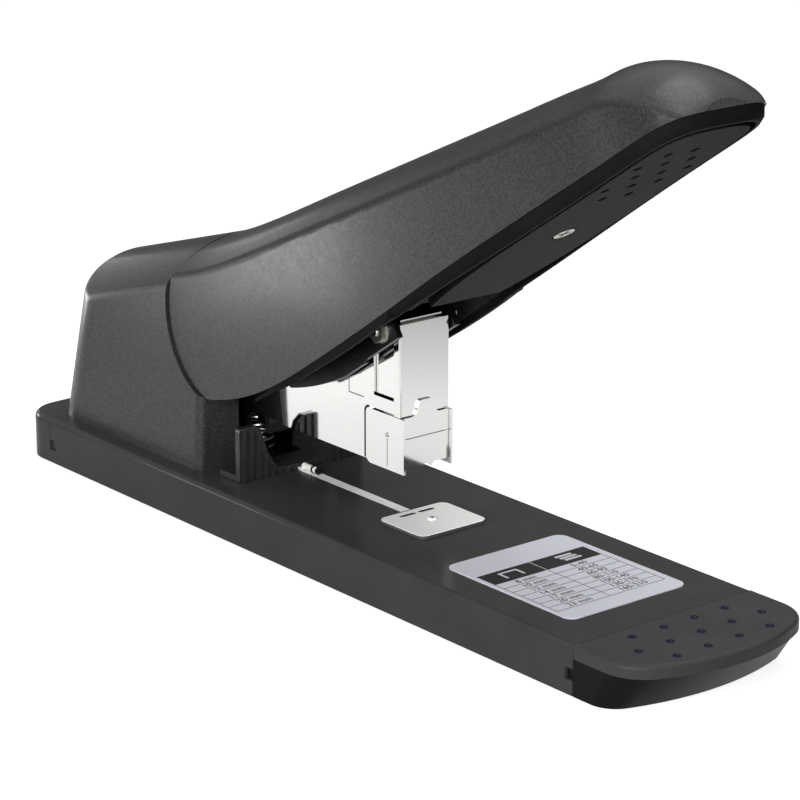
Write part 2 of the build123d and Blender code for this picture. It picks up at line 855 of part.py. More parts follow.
def shell_section(u, inset):
    """Arched section of the shell at u, drawn in by an inset, and run down past its lower rim."""
    half_width = rim_half_width(u) - inset
    top = top_line(u) - inset
    shoulder_half_width = half_width - handle_draft * min(1, (top - handle_rim_v) / draft_height)
    sagitta = handle_sagitta_share * shoulder_half_width
    shoulder = top - sagitta
    lowest = handle_rim_v - 3 * handle_shoulder_radius
    with BuildSketch(handle_section_plane(u)) as section:
        with BuildLine():
            Polyline(
                (-shoulder_half_width, shoulder),
                (-half_width, handle_rim_v - handle_shoulder_radius * 2),
                (-half_width, lowest),
                (half_width, lowest),
                (half_width, handle_rim_v - handle_shoulder_radius * 2),
                (shoulder_half_width, shoulder),
            )
            ThreePointArc((shoulder_half_width, shoulder), (0, top), (-shoulder_half_width, shoulder))
        make_face()
        shoulders = section.vertices().filter_by(lambda vertex: abs(vertex.Y - shoulder) < 1e-4)
        shoulder_share = shoulder_half_width / handle_rear_half_width
        fillet(shoulders, (handle_shoulder_radius - inset / 2) * shoulder_share)
    return section.sketch


def along(fraction):
    """Distance u of a section in the nose, at a fraction of the nose's length."""
    return nose_start_u + fraction * (handle_length - nose_start_u)


shell_stations = [-45, -15, 15, 50, 85, 120, 150, 170, nose_start_u]
nose_stations = [along(fraction) for fraction in (0.2, 0.4, 0.6, 0.75, 0.88, 0.96, 0.99)]
inner_nose_stations = [along(fraction) - handle_wall for fraction in (0.2, 0.4, 0.6, 0.75, 0.88)]
rim_curve_points = [(-22.0, -19.4), (6.0, -27.4), (35.0, -29.3), (80.0, -29.05), (150.0, handle_rim_v)]
rim_curve_tangents = [(1, -0.45), (1, 0)]
cover_line_points = [(u, v - rim_seam) for u, v in rim_curve_points]
drum_top_angle = 104.0
inner_drum_radius = handle_drum_radius - handle_wall


def drum_point(radius, angle):
    """Point on a circle about the pivot, in u and v, at an angle in degrees."""
    return (radius * cos(radians(angle)), radius * sin(radians(angle)))


with BuildPart() as shell_core:
    loft([shell_section(u, handle_wall) for u in shell_stations + inner_nose_stations])
    with BuildSketch(handle_plane):
        with Locations((0, 0)):
            Circle(inner_drum_radius)
        with Locations((0, -2 * handle_drum_radius)):
            Rectangle(
                handle_length - handle_wall, 4 * handle_drum_radius, align=(Align.MIN, Align.MIN)
            )
        with BuildLine():
            Polyline(
                (0, 0),
                drum_point(3 * handle_drum_radius, apron_end_angle),
                drum_point(3 * handle_drum_radius, 230.0),
                (0, -3 * handle_drum_radius),
                close=True,
            )
        make_face()
    extrude(amount=base_width, both=True, mode=Mode.INTERSECT)

with BuildPart() as handle_shell:
    loft([shell_section(u, 0) for u in shell_stations + nose_stations])
    with BuildSketch(handle_plane):
        with BuildLine():
            rim_curve = Spline(*rim_curve_points, tangents=rim_curve_tangents)
            rim_front = Line(rim_curve @ 1, (2 * handle_length, handle_rim_v))
            Polyline(
                rim_front @ 1,
                (2 * handle_length, 2 * handle_drum_radius),
                (drum_point(handle_drum_radius, drum_top_angle)[0], 2 * handle_drum_radius),
                drum_point(handle_drum_radius, drum_top_angle),
            )
            ThreePointArc(
                drum_point(handle_drum_radius, drum_top_angle),
                drum_point(handle_drum_radius, 165.0),
                rim_curve @ 0,
            )
        make_face()
    extrude(amount=base_width, both=True, mode=Mode.INTERSECT)
    add(shell_core.part, mode=Mode.SUBTRACT)
finish(handle_shell.part, "handle_shell")


# ---------------------------------------------------------------------------------------------
# Handle under cover: chamfered band, crowned panel with grip dimples, slot for the magazine head
# ---------------------------------------------------------------------------------------------


def nose_points(fractions, inset):
    """Points on the rim's plan round the nose, drawn in by an inset."""
    points = []
    for fraction in fractions:
        u = along(fraction)
        points.append((u - inset * fraction, rim_half_width(u) - inset))
    return points


def rim_plan(v, inset, rear_u):
    """Plan of the handle's rim at height v, drawn in by an inset and cut square at rear_u."""
    points = [(u, rim_half_width(u) - inset) for u in (rear_u, taper_middle_u, nose_start_u)]
    points += nose_points((0.35, 0.6, 0.8, 0.93), inset)
    with BuildSketch(handle_layer_plane(v)) as plan:
        with BuildLine():
            Spline(*points, (handle_length - inset, 0), tangents=[(1, 0), (0, -1)])
            Line(points[0], (rear_u, 0))
            mirror(about=Plane.XZ)
        make_face()
    return plan.sketch


def island_plan(v):
    """Plan of the raised panel: it follows the nose and draws in towards the magazine head."""
    points = [
        (head_slot_front_u, panel_rear_half_width),
        (panel_waist_u, panel_waist_half_width),
        (nose_start_u, rim_half_width(nose_start_u) - panel_inset),
    ]
    points += nose_points((0.35, 0.6, 0.8), panel_inset)
    with BuildSketch(handle_layer_plane(v)) as plan:
        with BuildLine():
            Spline(*points, (handle_length - panel_inset, 0), tangents=[(1, 0.3), (0, -1)])
            Line(points[0], (head_slot_front_u, 0))
            mirror(about=Plane.XZ)
        make_face()
    return plan.sketch


under_top_v = handle_rim_v - rim_seam
dimple_counts = (2, 3, 3, 3, 2)
strip_outer_y = handle_rear_half_width - strip_outer_inset

strip_front_u = under_cover_rear_u + 1

with BuildPart() as rear_strips:
    # Black strips under the shell's rear rim, which deepen towards the head
    with BuildSketch(handle_plane.offset(strip_outer_y - strip_thickness)):
        with BuildLine():
            strip_lower = Spline(
                (strip_rear_u, strip_rear_v),
                (strip_heel_u, strip_heel_v),
                (strip_belly_u, strip_belly_v),
                (strip_front_u, strip_front_v),
            )
            Polyline(
                strip_lower @ 1,
                (strip_front_u, strip_top_v),
                (strip_rear_u, strip_top_v),
                strip_lower @ 0,
            )
        make_face()
    extrude(amount=strip_thickness)
    # Rear ends of the inner ridge, which ramp down from the rim
    with BuildSketch(handle_plane.offset(handle_rear_half_width - ridge_inset)):
        with BuildLine():
            Polyline(
                (ridge_ramp_start_u, band_lower_v),
                (ridge_ramp_end_u, ridge_v),
                (strip_front_u, ridge_v),
                (strip_front_u, ridge_ramp_top_v),
                (ridge_ramp_start_u, ridge_ramp_top_v),
                close=True,
            )
        make_face()
    extrude(amount=ridge_inset - band_lower_inset)
    mirror(about=Plane.XZ)

with BuildPart() as shell_seat:
    # Room for the shell's wall, all along its rim
    with BuildSketch(handle_plane):
        with BuildLine():
            cover_line = Spline(*cover_line_points, tangents=rim_curve_tangents)
            Polyline(cover_line @ 1, (handle_length, 0), (-handle_drum_radius, 0), cover_line @ 0)
        make_face()
    extrude(amount=base_width, both=True)
    extrude(rim_plan(ridge_v, ring_inset, under_cover_rear_u), amount=-ridge_v, mode=Mode.SUBTRACT)

with BuildPart() as handle_under_cover:
    # Black band under the rim and the ridge inside it
    loft(
        [
            rim_plan(under_top_v, band_inset, under_cover_rear_u),
            rim_plan(band_lower_v, band_lower_inset, under_cover_rear_u),
        ]
    )
    loft(
        [
            rim_plan(band_lower_v, band_lower_inset, under_cover_rear_u),
            rim_plan(ridge_v, ridge_inset - ridge_width, under_cover_rear_u),
        ]
    )
    extrude(
        rim_plan(valley_v + under_cover_floor, ring_inset - rim_seam, under_cover_rear_u - 1),
        amount=under_cover_floor,
        mode=Mode.SUBTRACT,
    )
    # Valley between the ridge and the raised panel
    extrude(
        rim_plan(ridge_v, ridge_inset, under_cover_rear_u - 1),
        amount=valley_v - ridge_v,
        mode=Mode.SUBTRACT,
    )
    extrude(island_plan(panel_v), amount=valley_v - panel_v + under_cover_floor / 2)
    add(rear_strips.part)
    add(shell_seat.part, mode=Mode.SUBTRACT)
    # Slot that lets the magazine head rise into the handle
    with BuildSketch(handle_layer_plane(0)):
        Rectangle(head_slot_front_u, 2 * head_slot_half_width, align=(Align.MIN, Align.CENTER))
    extrude(amount=-2 * handle_drum_radius, mode=Mode.SUBTRACT)
    # Screw pillar up to the lever channel, with a pocket for the screw's head
    with BuildSketch(handle_layer_plane(panel_v)):
        with Locations((handle_screw_u, 0)):
            Circle(handle_screw_boss_radius)
    extrude(amount=lever_channel_top_v - lever_web_thickness - panel_v - running_clearance)
    with BuildSketch(handle_layer_plane(panel_v)):
        with Locations((handle_screw_u, 0)):
            Circle(handle_screw_pocket_radius)
    extrude(amount=handle_screw_head_height, mode=Mode.SUBTRACT)
    with BuildSketch(handle_layer_plane(panel_v)):
        with Locations((handle_screw_u, 0)):
            Circle(handle_screw_radius + screw_clearance)
    extrude(amount=-panel_v, mode=Mode.SUBTRACT)
    # Grip dimples under the fingers
    for row, dimple_count in enumerate(dimple_counts):
        # Neighbouring rows are staggered by half a pitch
        row_shift = dimple_pitch / 4 if row == len(dimple_counts) // 2 else -dimple_pitch / 4
        for index in range(int(dimple_count)):
            dimple_y = (index - (dimple_count - 1) / 2) * dimple_pitch + row_shift
            dimple_u = dimple_centre_u + (row - len(dimple_counts) // 2) * dimple_row_pitch
            dimple_v = panel_v - dimple_radius + dimple_depth
            dimple_x = pivot_x + dimple_u * slope_cos - dimple_v * slope_sin
            dimple_z = pivot_z + dimple_u * slope_sin + dimple_v * slope_cos
            with Locations((dimple_x, dimple_y, dimple_z)):
                Sphere(dimple_radius, mode=Mode.SUBTRACT)
finish(handle_under_cover.part, "handle_under_cover")

# ---------------------------------------------------------------------------------------------
# Lever frame: folded steel channel that the handle turns on and that drives the head
# ---------------------------------------------------------------------------------------------

lever_web_front_u = lever_front_u + lever_web_reach

with BuildPart() as lever_frame:
    with BuildSketch(handle_plane.offset(lever_inner_y)) as lever_cheek:
        with BuildLine():
            Polyline(
                (lever_toe_u, lever_toe_v),
                (lever_sole_u, lever_bottom_v),
                (lever_step_u, lever_bottom_v),
                (lever_step_u, lever_bottom_v + lever_step),
                (lever_front_u, lever_bottom_v + lever_step),
                (lever_front_u, lever_channel_bottom_v + lever_channel_rise),
                (lever_front_u + lever_shoulder_reach, lever_channel_bottom_v),
                (lever_channel_end_u, lever_channel_bottom_v),
                (lever_channel_end_u, lever_channel_top_v),
                (lever_web_front_u, lever_web_v + lever_web_thickness),
                (pivot_boss_radius * 0.5, lever_web_v + lever_web_thickness),
                (-pivot_boss_radius, 0),
                (-pivot_boss_radius * 0.9, -6.0),
                (lever_heel_u, handle_rim_v),
            )
            ThreePointArc(
                (lever_heel_u, handle_rim_v),
                (lever_arch_u, lever_arch_v),
                (lever_toe_u, lever_toe_v),
            )
        make_face()
        Circle(pivot_boss_radius)
        Circle(bush_outer_radius + running_clearance, mode=Mode.SUBTRACT)
        with Locations((link_u, link_v)):
            Circle(link_bolt_radius + running_clearance, mode=Mode.SUBTRACT)
    extrude(amount=lever_thickness)
    mirror(about=Plane.XZ)
    with BuildSketch(handle_plane) as lever_web:
        with BuildLine():
            Polyline(
                (pivot_boss_radius + 1, lever_web_v),
                (lever_web_front_u, lever_web_v),
                (lever_channel_end_u, lever_channel_top_v - lever_web_thickness),
                (lever_channel_end_u, lever_channel_top_v),
                (lever_web_front_u, lever_web_v + lever_web_thickness),
                (pivot_boss_radius + 1, lever_web_v + lever_web_thickness),
                close=True,
            )
        make_face()
    extrude(amount=lever_inner_y, both=True)
    with BuildSketch(handle_layer_plane(panel_v)):
        with Locations((handle_screw_u, 0)):
            Circle(handle_screw_radius + screw_clearance)
    extrude(amount=-2 * panel_v, mode=Mode.SUBTRACT)
finish(lever_frame.part, "lever_frame")

with BuildPart() as pin_bushes:
    with BuildSketch(handle_plane.offset(lever_inner_y)):
        Circle(bush_outer_radius)
        Circle(handle_pin_radius + running_clearance, mode=Mode.SUBTRACT)
    extrude(amount=lever_thickness + side_clearance / 2)
    with BuildSketch(handle_plane.offset(lever_inner_y - bush_flange_thickness)):
        Circle(bush_flange_radius)
        Circle(handle_pin_radius + running_clearance, mode=Mode.SUBTRACT)
    extrude(amount=bush_flange_thickness)
    mirror(about=Plane.XZ)
finish(pin_bushes.part, "pin_bushes")

link_half_length = lever_outer_y + link_washer_thickness + link_nut_thickness + 0.6

with BuildPart() as link_bolt:
    with BuildSketch(handle_plane.offset(-link_half_length)):
        with Locations((link_u, link_v)):
            Circle(link_bolt_radius)
    extrude(amount=2 * link_half_length)
    chamfer(link_bolt.edges().filter_by(GeomType.CIRCLE), link_bolt_radius / 5)
finish(link_bolt.part, "link_bolt")

with BuildPart() as link_nuts:
    with BuildSketch(handle_plane.offset(lever_outer_y)):
        with Locations((link_u, link_v)):
            Circle(link_washer_radius)
            Circle(link_bolt_radius + running_clearance, mode=Mode.SUBTRACT)
    extrude(amount=link_washer_thickness)
    with BuildSketch(handle_plane.offset(lever_outer_y + link_washer_thickness)):
        with Locations((link_u, link_v)):
            RegularPolygon(link_nut_flats / 2, 6, major_radius=False)
            Circle(link_bolt_radius + running_clearance, mode=Mode.SUBTRACT)
    extrude(amount=link_nut_thickness)
    mirror(about=Plane.XZ)
finish(link_nuts.part, "link_nuts")

with BuildPart() as handle_screw:
    with BuildSketch(handle_layer_plane(panel_v + handle_screw_head_height / 2)):
        with Locations((handle_screw_u, 0)):
            Circle(handle_screw_radius)
    extrude(amount=lever_channel_top_v + 1 - panel_v - handle_screw_head_height / 2)
    with BuildSketch(handle_layer_plane(panel_v)):
        with Locations((handle_screw_u, 0)):
            Circle(handle_screw_head_radius)
    extrude(amount=handle_screw_head_height - 0.1)
    with BuildSketch(handle_layer_plane(panel_v)):
        with Locations((handle_screw_u, 0)):
            Rectangle(2.6 * handle_screw_radius, 0.5 * handle_screw_radius)
            Rectangle(0.5 * handle_screw_radius, 2.6 * handle_screw_radius)
    extrude(amount=handle_screw_head_height / 2, mode=Mode.SUBTRACT)
finish(handle_screw.part, "handle_screw")

# ---------------------------------------------------------------------------------------------
# Magazine: rear arm, front channel, throat, head cover and clip plates
# ---------------------------------------------------------------------------------------------

arm_floor_rear_x = arm_rear_x + arm_floor_setback
arm_floor_front_x = channel_rear_x - arm_floor_gap

with BuildPart() as magazine_arm:
    with BuildSketch(side_plane.offset(arm_inner_y)):
        with BuildLine():
            Polyline(
                (arm_rear_x, magazine_pivot_z - arm_tail_drop),
                (arm_rear_x, magazine_pivot_z + arm_tail_rise),
                (arm_rear_x + arm_tail_slope, arm_top_z),
                (arm_front_x, arm_top_z),
                (arm_front_x, magazine_floor_z + sheet),
                (arm_floor_front_x, magazine_floor_z + sheet),
                (arm_floor_front_x, magazine_floor_z),
                (arm_floor_rear_x, magazine_floor_z),
                close=True,
            )
        make_face()
        with Locations((magazine_pivot_x, magazine_pivot_z)):
            Circle(magazine_pin_radius + running_clearance, mode=Mode.SUBTRACT)
    extrude(amount=sheet)
    mirror(about=Plane.XZ)
    with BuildSketch(Plane.XY.offset(magazine_floor_z)):
        with Locations((arm_floor_rear_x, 0)):
            Rectangle(arm_floor_front_x - arm_floor_rear_x, 2 * arm_inner_y, align=(Align.MIN, Align.CENTER))
    extrude(amount=sheet)
finish(magazine_arm.part, "magazine_arm")

with BuildPart() as magazine_channel:
    with BuildSketch(side_plane.offset(channel_inner_y)):
        with BuildLine():
            Polyline(
                (channel_rear_x, magazine_floor_z),
                (head_front_x, magazine_floor_z),
                (head_front_x, clip_upper_z),
                (channel_front_x, clip_upper_z),
                (channel_front_x, channel_top_z),
                (window_front_x, channel_top_z),
                (window_front_x, window_bottom_z),
                (window_rear_x, window_bottom_z),
                (window_rear_x, channel_step_z),
                (channel_slope_x, channel_slope_z),
                (channel_shoulder_x, channel_shoulder_z),
                (channel_tail_x, channel_tail_upper_z),
                (channel_tail_x, channel_tail_lower_z),
                close=True,
            )
        make_face()
    extrude(amount=sheet)
    mirror(about=Plane.XZ)
    with BuildSketch(Plane.XY.offset(magazine_floor_z)):
        with Locations(((channel_rear_x + floor_front_x) / 2, 0)):
            Rectangle(floor_front_x - channel_rear_x, 2 * channel_inner_y)
    extrude(amount=sheet)
finish(magazine_channel.part, "magazine_channel")

throat_half_width = clip_inner_y - nose_side_gap
claw_root_z = magazine_floor_z + claw_height

with BuildPart() as throat_plate:
    with BuildSketch(Plane.YZ.offset(head_front_x)):
        with BuildLine():
            Polyline(
                (0, claw_root_z),
                (claw_inner_y, claw_root_z),
                (claw_tip_y, magazine_floor_z),
                (claw_outer_y, claw_root_z),
                (throat_half_width, claw_root_z),
                (throat_half_width, throat_upper_z),
                (0, throat_upper_z),
            )
            mirror(about=Plane.YZ)
        make_face()
    extrude(amount=sheet)
    # Pad that closes the front of the blade's channel
    with BuildSketch(Plane.YZ.offset(throat_pad_rear_x)):
        with Locations((0, throat_pad_lower_z)):
            Rectangle(
                2 * throat_pad_half_width,
                throat_upper_z - throat_pad_lower_z,
                align=(Align.CENTER, Align.MIN),
            )
    extrude(amount=head_front_x - throat_pad_rear_x)
finish(throat_plate.part, "throat_plate")

head_outer_y = clip_inner_y + sheet

with BuildPart() as head_cover:
    with BuildSketch(Plane.XY.offset(head_lower_z)):
        with Locations((head_front_x - sheet / 2, 0)):
            Rectangle(sheet, 2 * head_outer_y)
        for side in (-1, 1):
            with Locations((head_front_x - head_flange_length / 2, side * (head_outer_y - sheet / 2))):
                Rectangle(head_flange_length, sheet)
    extrude(amount=head_top_z - head_lower_z)
    front_bends = head_cover.edges().filter_by(Axis.Z).group_by(Axis.X)[-1]
    fillet(front_bends, head_bend_radius)
finish(head_cover.part, "head_cover")

with BuildPart() as clip_plates:
    with BuildSketch(side_plane.offset(clip_inner_y)) as clip_profile:
        with Locations(((clip_rear_x + clip_front_x) / 2, (clip_lower_z + clip_upper_z) / 2)):
            Rectangle(clip_front_x - clip_rear_x, clip_upper_z - clip_lower_z)
        fillet(clip_profile.vertices().group_by(Axis.X)[0], clip_corner_radius)
        with Locations((clip_rivet_x, clip_rivet_z)):
            Circle(clip_rivet_radius + running_clearance, mode=Mode.SUBTRACT)
    extrude(amount=sheet)
    mirror(about=Plane.XZ)
finish(clip_plates.part, "clip_plates")

with BuildPart() as head_rivets:
    with BuildSketch(side_plane.offset(clip_inner_y)):
        with Locations((clip_rivet_x, clip_rivet_z)):
            Circle(clip_rivet_radius)
    extrude(amount=sheet + 0.25)
    mirror(about=Plane.XZ)
finish(head_rivets.part, "head_rivets")

# ---------------------------------------------------------------------------------------------
# Driver: blade and the slotted carriage that the link bolt pushes
# ---------------------------------------------------------------------------------------------

link_z = pivot_z + link_u * slope_sin + link_v * slope_cos
slot_half_height = link_bolt_radius + carriage_play

with BuildPart() as driver_blade:
    with BuildSketch(Plane.YZ.offset(driver_rear_x)):
        with Locations((0, (driver_lower_z + driver_upper_z) / 2)):
            Rectangle(2 * driver_half_width, driver_upper_z - driver_lower_z)
    extrude(amount=driver_thickness)
finish(driver_blade.part, "driver_blade")

carriage_outer_y = channel_inner_y - carriage_side_gap

with BuildPart() as driver_carriage:
    with BuildSketch(side_plane.offset(-carriage_outer_y)):
        with Locations(((carriage_rear_x + driver_rear_x) / 2, link_z)):
            Rectangle(driver_rear_x - carriage_rear_x, 2 * (slot_half_height + carriage_ledge))
        slot_length = slot_end_x - carriage_rear_x - carriage_ledge
        with Locations((slot_end_x - slot_length / 2, link_z)):
            Rectangle(slot_length, 2 * slot_half_height, mode=Mode.SUBTRACT)
    extrude(amount=2 * carriage_outer_y)
    # Aprons that hang behind the head's side windows
    with BuildSketch(side_plane.offset(carriage_outer_y - carriage_apron_thickness)):
        with Locations((carriage_rear_x, carriage_apron_lower_z)):
            Rectangle(
                carriage_apron_front_x - carriage_rear_x,
                link_z - slot_half_height - carriage_apron_lower_z,
                align=(Align.MIN, Align.MIN),
            )
    extrude(amount=carriage_apron_thickness)
    mirror(about=Plane.XZ)
finish(driver_carriage.part, "driver_carriage")

# ---------------------------------------------------------------------------------------------
# Loader: tray with nose, hollow core, rod, staples, pusher and its spring
# ---------------------------------------------------------------------------------------------

core_top_z = loader_floor_z + core_height
tray_front_x = head_front_x + nose_rear_gap
nose_half_width = clip_inner_y - nose_side_gap
nose_tab_middle_z = (nose_shoulder_z + nose_tab_z) / 2
loader_length = tray_front_x - loader_rear_x
core_front_x = strip_front_x - spring_seat

with BuildPart() as staple_tray:
    with BuildSketch(Plane.XY.offset(loader_floor_z)):
        for side in (-1, 1):
            with Locations(
                ((loader_rear_x + tray_front_x) / 2, side * (tray_arm_inner_y + tray_arm_thickness / 2))
            ):
                Rectangle(loader_length, tray_arm_thickness)
    extrude(amount=tray_arm_top_z - loader_floor_z)
    # Nose plate with its rounded tab, and the pad behind it that closes the blade's channel
    with BuildSketch(Plane.YZ.offset(tray_front_x)):
        with BuildLine():
            tab_side = Spline(
                (nose_tab_root, nose_shoulder_z),
                (nose_tab_middle, nose_tab_middle_z),
                (nose_tab_top, nose_tab_z),
                tangents=[(-1, 0.2), (-1, 0.5)],
            )
            Polyline(
                (0, loader_floor_z),
                (nose_half_width, loader_floor_z),
                (nose_half_width, nose_shoulder_z),
                tab_side @ 0,
            )
            Line(tab_side @ 1, (0, nose_tab_z))
            mirror(about=Plane.YZ)
        make_face()
    extrude(amount=sheet)
    with BuildSketch(Plane.YZ.offset(throat_pad_rear_x)):
        with Locations((0, loader_floor_z)):
            Rectangle(
                2 * throat_pad_half_width,
                tray_arm_top_z - loader_floor_z,
                align=(Align.CENTER, Align.MIN),
            )
    extrude(amount=tray_front_x - throat_pad_rear_x)
    with BuildSketch(Plane.XY.offset(loader_floor_z)):
        with Locations((loader_rear_x + loader_bridge_length / 2, 0)):
            Rectangle(loader_bridge_length, 2 * tray_arm_inner_y)
    extrude(amount=core_height)
finish(staple_tray.part, "staple_tray")

# The gap between the bridge and the core lets the blade stand lowered while the loader is out
core_rear_x = loader_rear_x + loader_bridge_length + blade_gap
core_block_front_x = core_rear_x + core_block_length
core_slot_front_x = core_front_x - core_block_length

with BuildPart() as staple_core:
    with BuildSketch(Plane.YZ.offset(core_rear_x)):
        with Locations((0, loader_floor_z + core_height / 2)):
            Rectangle(2 * core_half_width, core_height)
        with Locations((0, loader_floor_z)):
            Rectangle(
                2 * (core_half_width - core_wall),
                core_height - core_wall,
                align=(Align.CENTER, Align.MIN),
                mode=Mode.SUBTRACT,
            )
    extrude(amount=core_front_x - core_rear_x)
    # Block between the tray's arms, with the rod's hole
    with BuildSketch(Plane.YZ.offset(core_rear_x)):
        with Locations((0, loader_floor_z)):
            Rectangle(2 * tray_arm_inner_y, core_height, align=(Align.CENTER, Align.MIN))
        with Locations((0, pusher_rod_z)):
            Circle(pusher_rod_radius, mode=Mode.SUBTRACT)
    extrude(amount=core_block_length)
    # End wall that carries the pusher rod, and the slot that the pusher's tongue runs in
    with BuildSketch(Plane.YZ.offset(core_front_x - sheet)):
        with Locations((0, loader_floor_z)):
            Rectangle(2 * core_half_width, core_height, align=(Align.CENTER, Align.MIN))
    extrude(amount=sheet)
    with BuildSketch(Plane.XY.offset(core_top_z)):
        with Locations((core_block_front_x, 0)):
            Rectangle(
                core_slot_front_x - core_block_front_x,
                2 * core_slot_half_width,
                align=(Align.MIN, Align.CENTER),
            )
    extrude(amount=-core_wall, mode=Mode.SUBTRACT)
finish(staple_core.part, "staple_core")

rod_front_x = core_front_x - sheet

with BuildPart() as pusher_rod:
    with BuildSketch(Plane.YZ.offset(core_rear_x)):
        with Locations((0, pusher_rod_z)):
            Circle(pusher_rod_radius)
    extrude(amount=rod_front_x - core_rear_x)
finish(pusher_rod.part, "pusher_rod")

staple_inner_y = core_half_width + staple_clearance
staple_outer_y = staple_inner_y + staple_wire
strip_rear_x = strip_front_x - strip_length


def staple_section(x):
    """Outline of a staple seen from the front: crown on top, two legs down beside the core."""
    with BuildSketch(Plane.YZ.offset(x)) as section:
        with Locations((0, loader_top_z)):
            Rectangle(2 * staple_outer_y, strip_height, align=(Align.CENTER, Align.MAX))
        with Locations((0, loader_top_z - staple_wire)):
            Rectangle(
                2 * staple_inner_y, strip_height, align=(Align.CENTER, Align.MAX), mode=Mode.SUBTRACT
            )
    return section.sketch


with BuildPart() as staple_strip:
    extrude(staple_section(strip_rear_x), amount=strip_length)
finish(staple_strip.part, "staple_strip")

pusher_front_x = strip_rear_x - spring_seat
pusher_rear_x = pusher_front_x - pusher_length

with BuildPart() as staple_pusher:
    extrude(staple_section(pusher_rear_x), amount=pusher_length)
    with BuildSketch(Plane.YZ.offset(pusher_rear_x)):
        with Locations((0, loader_top_z - staple_wire)):
            Rectangle(
                2 * (core_slot_half_width - 0.2),
                loader_top_z - staple_wire - pusher_rod_z + pusher_rod_radius,
                align=(Align.CENTER, Align.MAX),
            )
        with Locations((0, pusher_rod_z)):
            Circle(pusher_spring_radius)
            Circle(pusher_rod_radius + running_clearance, mode=Mode.SUBTRACT)
    extrude(amount=pusher_length)
finish(staple_pusher.part, "staple_pusher")


def coil(start, direction, radius, wire, length, turns):
    """Round-wire coil of a given length about the line from start along direction."""
    with BuildPart() as spring:
        with BuildLine():
            path = Helix(
                pitch=length / turns, height=length, radius=radius, center=start, direction=direction
            )
        with BuildSketch(Plane(origin=path @ 0, z_dir=path % 0)):
            RegularPolygon(wire, 8)
        sweep(path=path, is_frenet=True)
    return spring.part


pusher_spring_start = core_block_front_x + spring_seat + pusher_spring_wire
finish(
    coil(
        (pusher_spring_start, 0, pusher_rod_z),
        (1, 0, 0),
        pusher_spring_radius - pusher_spring_wire,
        pusher_spring_wire,
        pusher_rear_x - pusher_spring_start - spring_seat - pusher_spring_wire,
        pusher_spring_turns,
    ),
    "pusher_spring",
)

# ---------------------------------------------------------------------------------------------
# Springs of the handle and the magazine
# ---------------------------------------------------------------------------------------------

handle_spring_length = handle_spring_turns * handle_spring_pitch
handle_spring_radius = handle_pin_radius + spring_seat + handle_spring_wire
finish(
    coil(
        (pivot_x, -handle_spring_length / 2, pivot_z),
        (0, 1, 0),
        handle_spring_radius,
        handle_spring_wire,
        handle_spring_length,
        handle_spring_turns,
    ),
    "handle_spring",
)

magazine_spring_start = web_top_z + spring_seat + magazine_spring_wire
finish(
    coil(
        (magazine_spring_x, 0, magazine_spring_start),
        (0, 0, 1),
        magazine_spring_radius,
        magazine_spring_wire,
        magazine_floor_z - magazine_spring_start - spring_seat - magazine_spring_wire,
        magazine_spring_turns,
    ),
    "magazine_spring",
)

# ---------------------------------------------------------------------------------------------
# Paper guide: saddle with ribbed front, and the clip that rides the rail
# ---------------------------------------------------------------------------------------------

guide_inner_edge = (
    (guide_notch_half_width, guide_top_z),
    (guide_ear_y, guide_top_z - guide_ear_drop),
    (guide_cheek_y, guide_top_z - guide_cheek_drop),
    (guide_throat_y, guide_top_z - guide_throat_drop),
    (guide_heel_y, guide_trough_z + guide_lift),
    (guide_trough_half_width, guide_trough_z),
)
guide_bottom_z = base_height + guide_lift


def guide_height(y):
    """Height of the saddle's top edge at a distance y from the middle."""
    distance = abs(y)
    if distance >= guide_inner_edge[0][0]:
        return guide_top_z
    for (outer_y, outer_z), (inner_y, inner_z) in zip(guide_inner_edge, guide_inner_edge[1:]):
        if distance >= inner_y:
            return inner_z + (outer_z - inner_z) * (distance - inner_y) / (outer_y - inner_y)
    return guide_trough_z


with BuildPart() as paper_guide:
    with BuildSketch(Plane.YZ.offset(guide_front_x - guide_thickness)) as guide_profile:
        with BuildLine():
            Polyline(
                (0, guide_bottom_z),
                (guide_half_width, guide_bottom_z),
                (guide_half_width, guide_top_z),
                *guide_inner_edge,
                (0, guide_trough_z),
            )
            mirror(about=Plane.YZ)
        make_face()
        outer_top = guide_profile.vertices().filter_by(
            lambda vertex: abs(abs(vertex.X) - guide_half_width) < 0.01 and abs(vertex.Y - guide_top_z) < 0.01
        )
        fillet(outer_top, guide_corner_radius)
    extrude(amount=guide_thickness - guide_rib_height)
    with BuildSketch(Plane.XY.offset(guide_bottom_z)):
        with Locations((guide_front_x - guide_thickness, 0)):
            Rectangle(guide_foot_length, 2 * guide_half_width, align=(Align.MAX, Align.CENTER))
    extrude(amount=guide_foot_height)
    for index in range(guide_rib_count):
        rib_y = (index - (guide_rib_count - 1) / 2) * guide_rib_pitch
        nearest = max(abs(rib_y) - guide_rib_width / 2, 0)
        rib_top = min(guide_height(nearest), guide_height(abs(rib_y) + guide_rib_width / 2)) - guide_rib_drop
        if rib_top - guide_bottom_z > guide_rib_height:
            with Locations((guide_front_x - guide_rib_height, rib_y, guide_bottom_z)):
                Box(
                    guide_rib_height,
                    guide_rib_width,
                    rib_top - guide_bottom_z,
                    align=(Align.MIN, Align.CENTER, Align.MIN),
                )
finish(paper_guide.part, "paper_guide")

guide_clip_rear_x = guide_front_x + 0.3
tongue_rear_x = guide_front_x - guide_thickness - guide_foot_length + 1

